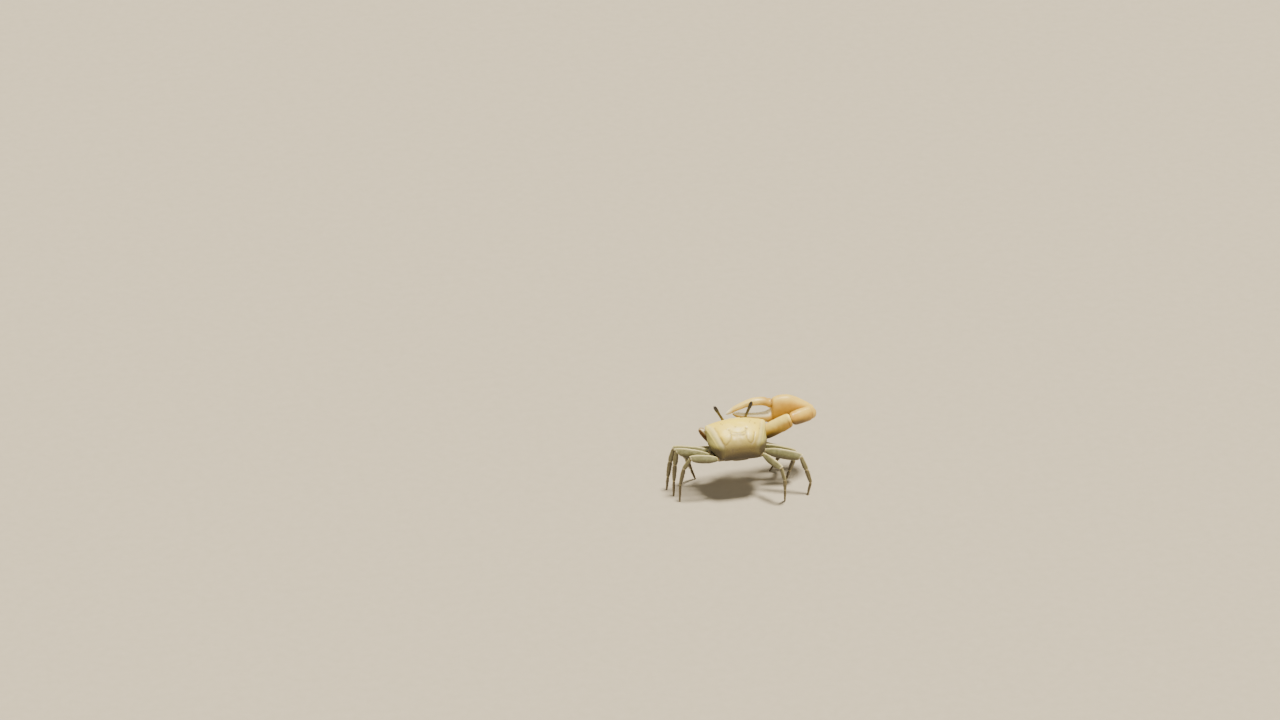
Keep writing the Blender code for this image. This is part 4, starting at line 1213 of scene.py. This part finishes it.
shoulder, elbow, wrist = ARM_JOINTS
root = from_body(mirrored(CLAW_ROOT, "right"))
first_bend, bend = bend_plane(root, shoulder, elbow), bend_plane(shoulder, elbow, wrist)
arm = limb(shoulder, elbow, ARM, TILTED_UP, first_bend, bend, rings=120, around=96, pinch=0.12)
piece("great_claw_merus_cuticle", [arm_part(arm, 41, 0.15, 1.0)], claw_finish,
      ["great_claw_merus"])
carpus = limb(elbow, wrist, WRIST, TILTED_UP, bend, None, rings=90, around=96, pinch=0.1)
knuckle = tube(sweep(KNUCKLE, KNUCKLE_SIZE, 50, 40), {"orange": 0.55, "pale": 0.25, "under": 0.15})
piece("great_claw_carpus_cuticle", [arm_part(carpus, 44, 0.8, 0.4), knuckle], claw_finish,
      ["great_claw_carpus"])
tissue.append(joint_tissue(shoulder, unit(elbow - shoulder), TILTED_UP, first_bend, 0.85, 0.8))
tissue.append(joint_tissue(elbow, unit(wrist - elbow), TILTED_UP, bend, 1.3, 1.55))

# %% [markdown]
# ## Palm and fingers
# The palm runs on as the fixed finger, and the movable finger hinges on its upper half. The
# outer face is grainy, the inner one smoother with a slanting row of grains, and both cutting
# edges are white where they wear. Ovals stacked along X give both shapes from one short table.
# The grains are relief of the same surface; only the teeth and the beads of the crest and the
# keel are small balls of their own.

# %% Outlines of palm and fingers
HAND = (                              # (x, low z, high z, half thickness, y of the middle)
    (-26.95, -1.3, 0.1, 0.7, -10.0), (-26.5, -2.1, 0.9, 1.2, -10.1), (-25.5, -2.9, 1.7, 1.7, -10.3),
    (-24.2, -3.5, 2.6, 2.05, -10.45), (-22.6, -4.0, 3.6, 2.3, -10.55), (-20.6, -4.25, 4.75, 2.4, -10.6),
    (-18.4, -4.3, 5.6, 2.4, -10.6), (-16.2, -4.15, 5.8, 2.3, -10.6), (-14.4, -3.8, 5.5, 2.1, -10.55),
    (-13.3, -3.6, 5.0, 1.8, -10.5), (-13.0, -3.5, 4.2, 1.6, -10.5), (-12.8, -3.45, 1.7, 1.6, -10.45),
    (-12.0, -3.25, 0.95, 1.5, -10.4), (-10.2, -2.65, 0.45, 1.35, -10.35), (-7.8, -1.9, 0.4, 1.2, -10.3),
    (-5.0, -1.25, 0.75, 1.0, -10.3), (-2.6, -0.6, 1.1, 0.75, -10.3), (-1.2, 0.0, 1.4, 0.5, -10.3),
    (-0.5, 0.65, 1.45, 0.3, -10.3), (-0.25, 0.95, 1.35, 0.12, -10.3),
)
FINGER = (                            # the same for the movable finger
    (-12.95, 2.1, 4.7, 0.9, -10.5), (-12.7, 1.9, 5.1, 1.3, -10.5), (-12.1, 2.1, 5.1, 1.45, -10.45),
    (-10.9, 2.9, 5.7, 1.5, -10.4), (-9.2, 3.35, 6.0, 1.4, -10.35), (-7.2, 3.5, 6.0, 1.3, -10.3),
    (-5.0, 3.25, 5.5, 1.15, -10.3), (-2.8, 2.6, 4.65, 1.0, -10.3), (-0.9, 1.95, 3.8, 0.82, -10.3),
    (0.5, 1.3, 2.95, 0.6, -10.3), (1.4, 1.05, 2.2, 0.4, -10.3), (1.85, 1.15, 1.7, 0.22, -10.3),
    (2.0, 1.25, 1.5, 0.1, -10.3),
)
TOOTH_PITCH, TOOTH = 0.43, 0.19       # usual spacing and radius of the teeth, mm
LOWER, UPPER = 1, 2                   # places of the two outlines in a row of such a table
SLANT = ((-21.5, -2.8), (-18.0, -0.9), (-15.2, 0.6))   # (x, z) along the grains inside the palm
HINGE = from_back(((-13.4, -10.5, 3.6), (-12.7, -10.5, 3.4), (-12.0, -10.45, 3.5)))
HINGE_SIZE = ((0, 0.9, 0.9), (0.5, 1.05, 1.05), (1, 0.9, 0.9))


def bar(stations, rings, around):
    """Ovals in planes across X: y = middle + thickness * c, z = mid height + half height * s."""
    stations = np.array(stations)
    table = walk(stations[:, :3])
    at = np.linspace(0, table[-1, 0], rings)
    x, low, high = read(table, at).T
    thick, middle = read(np.column_stack([table[:, 0], stations[:, 3:]]), at).T
    c, s = superellipse(around)
    y = middle[:, None] + thick[:, None] * c
    z = ((low + high) / 2)[:, None] + ((high - low) / 2)[:, None] * s
    return from_back(np.stack([np.broadcast_to(x[:, None], y.shape), y, z], axis=-1)), c[None], s[None]


def edge_points(stations, x, edge):
    """Points on the upper or lower outline of a bar at the given x."""
    rows = read(stations, x)
    return from_back(np.column_stack([x, rows[:, 3], rows[:, edge - 1]]))


def tooth_row(stations, first, last, edge, big):
    """Low teeth sunk into a cutting edge, of uneven pitch and size, with larger ones at given x."""
    x = np.arange(first, last, TOOTH_PITCH)
    x = x + TOOTH_PITCH * 0.5 * (chance(x, edge, 9) - 0.5)
    radius = TOOTH * (0.65 + 0.7 * chance(x, edge, 5))
    for place, extra in big:
        radius = radius + extra * hump(x - place, 0.3)
    centre = edge_points(stations, x, edge)
    centre[:, 2] += (0.3 if edge == LOWER else -0.3) * radius
    return marked(beads(centre, np.column_stack([radius * 1.25, radius, radius * 1.15])), ivory=1.0)


print("palm with its finger", round(HAND[-1][0] - HAND[0][0], 2), "mm long")

# %% Palm and fixed finger


def hand_part():
    """Palm and fixed finger: grains times soft steps of side and height, plus a bell curve for
    the keel and one for the slanting row inside; the cutting edge is marked white."""
    grid, c, s = bar(HAND, 300, 168)
    x, z = grid[..., 0], grid[..., 2]
    palm = ramp(-x, 12.6, 14.0)
    outer = ramp(-c, -0.1, 0.6)
    grit = grains(x, z * 1.15, 0.5, 0.32, 51)
    fine = grains(x, z, 0.36, 0.15, 54)
    keel = hump(s + 0.97, 0.05)
    slant = near_line(x, z - BACK_HEIGHT, SLANT) + 5 * (c < 0)
    row = hump(slant, 0.3) * (0.6 + 0.4 * np.cos(2 * math.pi * x / 0.5))
    height = (palm * outer * (0.1 * grit * ramp(s, -0.7, 0.5) + 0.03 * fine) + (1 - palm) * 0.02 * fine
              + 0.07 * row + 0.05 * keel + 0.05 * lumps(grid, 3.5, 56) * ramp(-x, 5, 12))
    marks = {
        "tan": ramp(x, -13.5, -11.0),
        "orange": palm * (0.55 * ramp(-s, -0.6, 0.6) + 0.25),
        # Painted shade on the lower palm and the fixed finger's lower side.
        "under": (0.6 + 0.25 * palm) * ramp(0.4 * (1 - palm) - s, 0.05, 0.95),
        "furrow": np.clip(hump(x + 13.15, 0.12) * palm + 0.25 * keel, 0, 1),
        # Painted highlight on the top of the palm.
        "pale": 0.5 * palm * ramp(s, 0.5, 0.95),
        "ivory": ramp(s, 0.15, 0.65) * ramp(x, -12.9, -12.2),
    }
    return tube(grid + outward(grid) * height[..., None], marks)


hand = hand_part()
print("palm and fixed finger", len(hand["points"]), "points")

# %% Movable finger


def finger_part():
    """Movable finger: fine grains above and a bell-curve groove along the side; the cutting
    edge and the hooked tip are marked white."""
    grid, _, s = bar(FINGER, 190, 96)
    x, y, z = np.moveaxis(grid, -1, 0)
    fine = grains(x, z + y, 0.4, 0.17, 61)
    groove = hump(s - 0.35, 0.12) * ramp(x, -11, -8) * ramp(-x, -0.5, 1.5)
    height = 0.035 * fine * ramp(s, 0.0, 0.6) * ramp(-x, -1, 3) - 0.06 * groove
    marks = {
        "tan": 0.6 * ramp(x, -12, -8),
        "orange": 0.9 * ramp(-x, 7.0, 11.0),
        "furrow": np.maximum(0.4 * groove, ramp(-x, 12.3, 12.8)),
        # Painted highlight on the upper side, weaker towards the finger's base.
        "pale": 0.5 * ramp(s, -0.1, 0.7) * (1 - 0.65 * ramp(-x, 8.0, 11.5)),
        "ivory": np.maximum(ramp(-s, 0.55, 0.9), ramp(x, -0.5, 1.6)),
    }
    return tube(grid + outward(grid) * height[..., None], marks)


finger = finger_part()
print("movable finger", len(finger["points"]), "points")

# %% Teeth and crests, and the whole claw
crest_x = np.arange(-25.6, -13.6, 0.52)
crest_row = edge_points(HAND, crest_x, UPPER)
crest_size = 0.12 + 0.08 * chance(crest_x, 0, 3)
crest = [marked(beads(crest_row + (0, offset, -0.07 - 0.13 * abs(offset)), crest_size * scale), pale=0.6)
         for offset, scale in ((0.0, 1.0), (-0.62, 0.7), (0.62, 0.7))]
keel_x = np.arange(-24.8, -3.0, 0.42)
keel_row = edge_points(HAND, keel_x, LOWER) + (0, 0, 0.05)
keel_row = marked(beads(keel_row, 0.07 + 0.05 * chance(keel_x, 0, 4)), pale=0.3)
pollex_teeth = tooth_row(HAND, -11.6, -1.4, UPPER, ((-7.4, 0.26), (-10.2, 0.1), (-2.3, 0.16)))
finger_teeth = tooth_row(FINGER, -11.2, 0.6, LOWER, ((-9.4, 0.2), (-4.6, 0.14)))
piece("great_claw_hand_cuticle", [hand, *crest, keel_row, pollex_teeth], claw_finish,
      ["great_claw_hand"])
piece("great_claw_finger_cuticle", [finger, finger_teeth], claw_finish,
      ["great_claw_finger"])
# The hinge sleeve between palm and finger is painted almost wholly in shade.
tissue.append(tube(sweep(HINGE, HINGE_SIZE, 20, 28), {"wrinkle": 0.9}))

# %% [markdown]
# ## The small claw
# The other claw is a small feeding tool with spoon-shaped tips, held under the mouth. Its arm is
# brown, partly painted shade, with a white upper edge painted as a highlight that shows beside
# the shell. Arm, wrist and palm are limbs again, but a limb is straight, so each finger is an
# oval carried along a bent path.

# %% Small claw
SMALL_ARM = ((0, 0.75, 0.7), (0.25, 0.85, 0.95), (0.8, 0.9, 1.1), (1, 0.7, 0.85))
SMALL_WRIST = ((0, 0.65, 0.7), (0.3, 0.85, 0.95), (0.8, 0.8, 0.95), (1, 0.6, 0.7))
SMALL_HAND = ((0, 0.6, 0.7), (0.25, 0.75, 1.0), (0.8, 0.7, 1.1), (1, 0.6, 1.0))
SMALL_FINGER = ((0, 0.42, 0.5), (0.3, 0.36, 0.38), (0.65, 0.3, 0.28), (0.86, 0.42, 0.2), (1, 0.26, 0.12))
UPRIGHT = np.array([0, 0, 1.0])

# Small claw's cuticle: matt brown, partly its own colour and partly painted shade, darker below as
# painted shade, with a white upper edge painted as a highlight.
small_finish = cuticle(
    "brown_small_claw_cuticle", "#80592F", "#6A4725",
    (("under", "#422A15", 0.7), ("tan", "#B99A62", 0.8), ("joint", "#D6C491", 0.7),
     ("pale", "#FFF6D8", 0.95)),
    ("#4A3018", 0.3, 0.4), 0.36, cloud_size=1.0)


def small_part(start, end, table, cut_start, cut_end, seed, tan, edge):
    """One tube of the small claw, with its white upper edge as strong as `edge`."""
    shape = limb(start, end, table, UPRIGHT, cut_start, cut_end, around=32, pinch=0.2)
    share, top = shape["share"], shape["top"]
    # under is painted shade on the lower side; pale is the white upper edge, painted as a highlight.
    marks = {"under": ramp(-top, 0, 1), "pale": edge * ramp(top, -0.1, 0.25), "tan": tan,
             "joint": np.maximum(ramp(share, 0.9, 1.0), ramp(-share, -0.06, 0))}
    coat.append(("small", shape, len(coat)))
    return tube(raised(shape, 0.02 * lumps(shape["grid"], 0.8, seed)), marks)


def small_finger(way):
    """Curved finger with a spoon tip, along a way of (forwards, upwards) steps from the palm."""
    path = np.array([palm + axis * forth + across * up for forth, up in way])
    grid = sweep(path, SMALL_FINGER, 60, 24)
    coat.append(("small", {"grid": grid}, len(coat)))
    return marked(tube(grid, {}), tan=0.8, pale=0.15)


root = from_body(mirrored(CLAW_ROOT, "left"))
shoulder, elbow, wrist, palm = SMALL_JOINTS
cuts = [bend_plane(root, shoulder, elbow), bend_plane(shoulder, elbow, wrist),
        bend_plane(elbow, wrist, palm)]
arm = small_part(shoulder, elbow, SMALL_ARM, cuts[0], cuts[1], 71, 0.0, 1.0)
piece("small_claw_merus_cuticle", [arm], small_finish, ["small_claw_merus"])
carpus = small_part(elbow, wrist, SMALL_WRIST, cuts[1], cuts[2], 72, 0.3, 0.25)
piece("small_claw_carpus_cuticle", [carpus], small_finish, ["small_claw_carpus"])
# Two spoon-tipped fingers, one on the palm and one that moves against it
axis = unit(SMALL_TIP - palm)
across = unit(UPRIGHT - axis * axis[2])
hand = small_part(wrist, palm, SMALL_HAND, cuts[2], None, 74, 0.5, 0.35)
fixed = small_finger(((-0.7, -0.5), (1.2, -0.85), (2.9, -0.8), (4.1, -0.32)))
piece("small_claw_hand_cuticle", [hand, fixed], small_finish, ["small_claw_hand"])
moving = small_finger(((0.3, 0.6), (1.4, 0.95), (2.9, 0.85), (4.1, 0.38)))
piece("small_claw_finger_cuticle", [moving], small_finish, ["small_claw_finger"])
for i, size in enumerate((0.62, 0.6, 0.55)):
    point, after = SMALL_JOINTS[i], SMALL_JOINTS[i + 1]
    tissue.append(joint_tissue(point, unit(after - point), UPRIGHT, cuts[i], size, size))

# %% [markdown]
# ## Soft tissue of the joints
# Between two tubes lies arthrodial membrane: the same cuticle without its chalk, thin, pale and
# folded like bellows. A gap with nothing in it would look like a dark slit. The sleeves made
# with the limbs are joined here, and as they let some light through, their material gets a
# little subsurface scattering.

# %% Joint membranes


def membrane_material():
    """Uncalcified cuticle: cream, softly translucent, darker in its folds, slightly moist."""
    material, tree, place = new_material("soft_joint_membrane")
    mist = add(tree, "TexNoise", {}, {"Vector": place, "Scale": per_mm(0.6)})["Fac"]
    colour = add(tree, "Mix", COLOURS, {0: mist, 6: linear("#DCCB9A"), 7: linear("#C2AB78")})[2]
    # Painted shade in the folds, deepest in the middle of each sleeve.
    fold = add(tree, "Attribute", {"attribute_name": "wrinkle"}, {})["Fac"]
    colour = add(tree, "Mix", COLOURS, {0: fold, 6: colour, 7: linear("#8C7446")})[2]
    waves = add(tree, "TexNoise", {}, {"Vector": place, "Scale": per_mm(0.18)})["Fac"]
    bump = add(tree, "Bump", {}, {"Height": waves, "Strength": 0.5, "Distance": 0.05 * MM})
    feed(tree, {"Base Color": colour, "Roughness": 0.42, "Normal": bump["Normal"], "IOR": 1.45,
                "Subsurface Weight": 0.25, "Subsurface Scale": 0.4 * MM})
    return material


piece("joint_membranes", tissue, membrane_material())

# %% [markdown]
# ## Bristles
# The edges of the legs and of the small claw carry short stiff bristles, most of them on the
# lower legs. Hair curves would be lost in an export, so each bristle is a thin three-sided
# spike of mesh: one template, turned and scaled for all of them in one array. Its UV patch
# lies at its root's place on an unwrap of the legs, one column for each tube.

# %% One bristle, many times
# Bristles on each tube, and their usual length in mm
DENSITY = {"merus": 14, "carpus": 16, "propodus": 44, "dactyl": 40, "small": 14}
BRISTLE_LENGTH = {"merus": 0.3, "carpus": 0.4, "propodus": 0.5, "dactyl": 0.36, "small": 0.36}
PATCH = 0.003                         # width of one bristle's patch on the unwrap
LEVEL = np.array([0.0, 0.4, 0.8])     # share of the length at which a bristle's three rings lie
THICKNESS = np.array([0.02, 0.016, 0.009])   # its radius there
SIDES = [(i + j, i + (j + 1) % 3, i + 3 + (j + 1) % 3, i + 3 + j) for i in (0, 3) for j in range(3)]
ENDS = [(6, 7, 9), (7, 8, 9), (8, 6, 9), (2, 1, 0)]
CORNERS = np.array([(x, y) for y in (0, 1, 2) for x in (0, 1, 2)] + [(1, 3)]) / 3 * PATCH


def bristles(roots, ways, lengths, spots):
    """Three-sided spikes: corners of three shrinking triangles, bent downwards, and a point. A
    corner is root + way * length * level - drop * length * level^2 + radius * (cos, sin)."""
    angle = 2 * math.pi * np.arange(3) / 3
    side = unit(np.cross(ways, (0.31, 0.17, 0.93)))
    up = np.cross(side, ways)
    ring = side[:, None, None] * np.cos(angle)[:, None] + up[:, None, None] * np.sin(angle)[:, None]
    stem = ways[:, None] * (LEVEL * lengths[:, None])[..., None]
    stem = stem - np.array([0, 0, 0.12]) * (LEVEL ** 2 * lengths[:, None])[..., None]
    rings = roots[:, None, None] + stem[:, :, None] + ring * THICKNESS[:, None, None]
    tip = roots + (ways - (0, 0, 0.15)) * lengths[:, None]
    points = np.concatenate([rings.reshape(len(roots), 9, 3), tip[:, None]], axis=1)
    base = 10 * np.arange(len(roots))[:, None, None]
    faces = [(np.array(group) + base).reshape(-1, len(group[0])) for group in (SIDES, ENDS)]
    return {"points": points.reshape(-1, 3), "faces": faces, "marks": {},
            "patch": (spots[:, None] + CORNERS).reshape(-1, 2)}


print("bristles", sum(DENSITY[name] for name, _, _ in coat))

# %% Growing them on the limbs


def grow(name, shape, column, random):
    """Pick roots in bands along the upper and lower edges of one tube, and lean them tipwards."""
    grid = shape["grid"]
    rings, around = grid.shape[:2]
    count = DENSITY[name]
    row = random.integers(10, rings - 10, count)
    edge = np.where(random.random(count) < 0.5, around // 4, 3 * around // 4)
    place = (edge + random.integers(-3, 4, count)) % around
    out = outward(grid)[row, place]
    along = unit(grid[row + 2, place] - grid[row, place])
    ways = unit(out * 0.8 + along * 0.9 + random.normal(scale=0.12, size=(count, 3)))
    lengths = BRISTLE_LENGTH[name] * random.uniform(0.5, 1.1, count)
    spots = np.column_stack([(column + place / around) / (len(coat) + 1), row / rings]) * 0.98
    return bristles(grid[row, place] - out * 0.02, ways, lengths, spots)


def bristle_material():
    """Bristle: tanned chitin without chalk, so straw to brown and a little glossy."""
    material, tree, place = new_material("tanned_chitin_bristle")
    mist = add(tree, "TexNoise", {}, {"Vector": place, "Scale": per_mm(1.5)})["Fac"]
    colour = add(tree, "Mix", COLOURS, {0: mist, 6: linear("#9C8450"), 7: linear("#5A4526")})[2]
    feed(tree, {"Base Color": colour, "Roughness": 0.4, "IOR": CHITIN_IOR})
    return material


random = np.random.default_rng(2024)
hairs = [grow(name, shape, column, random) for name, shape, column in coat]
piece("limb_bristles", hairs, bristle_material())
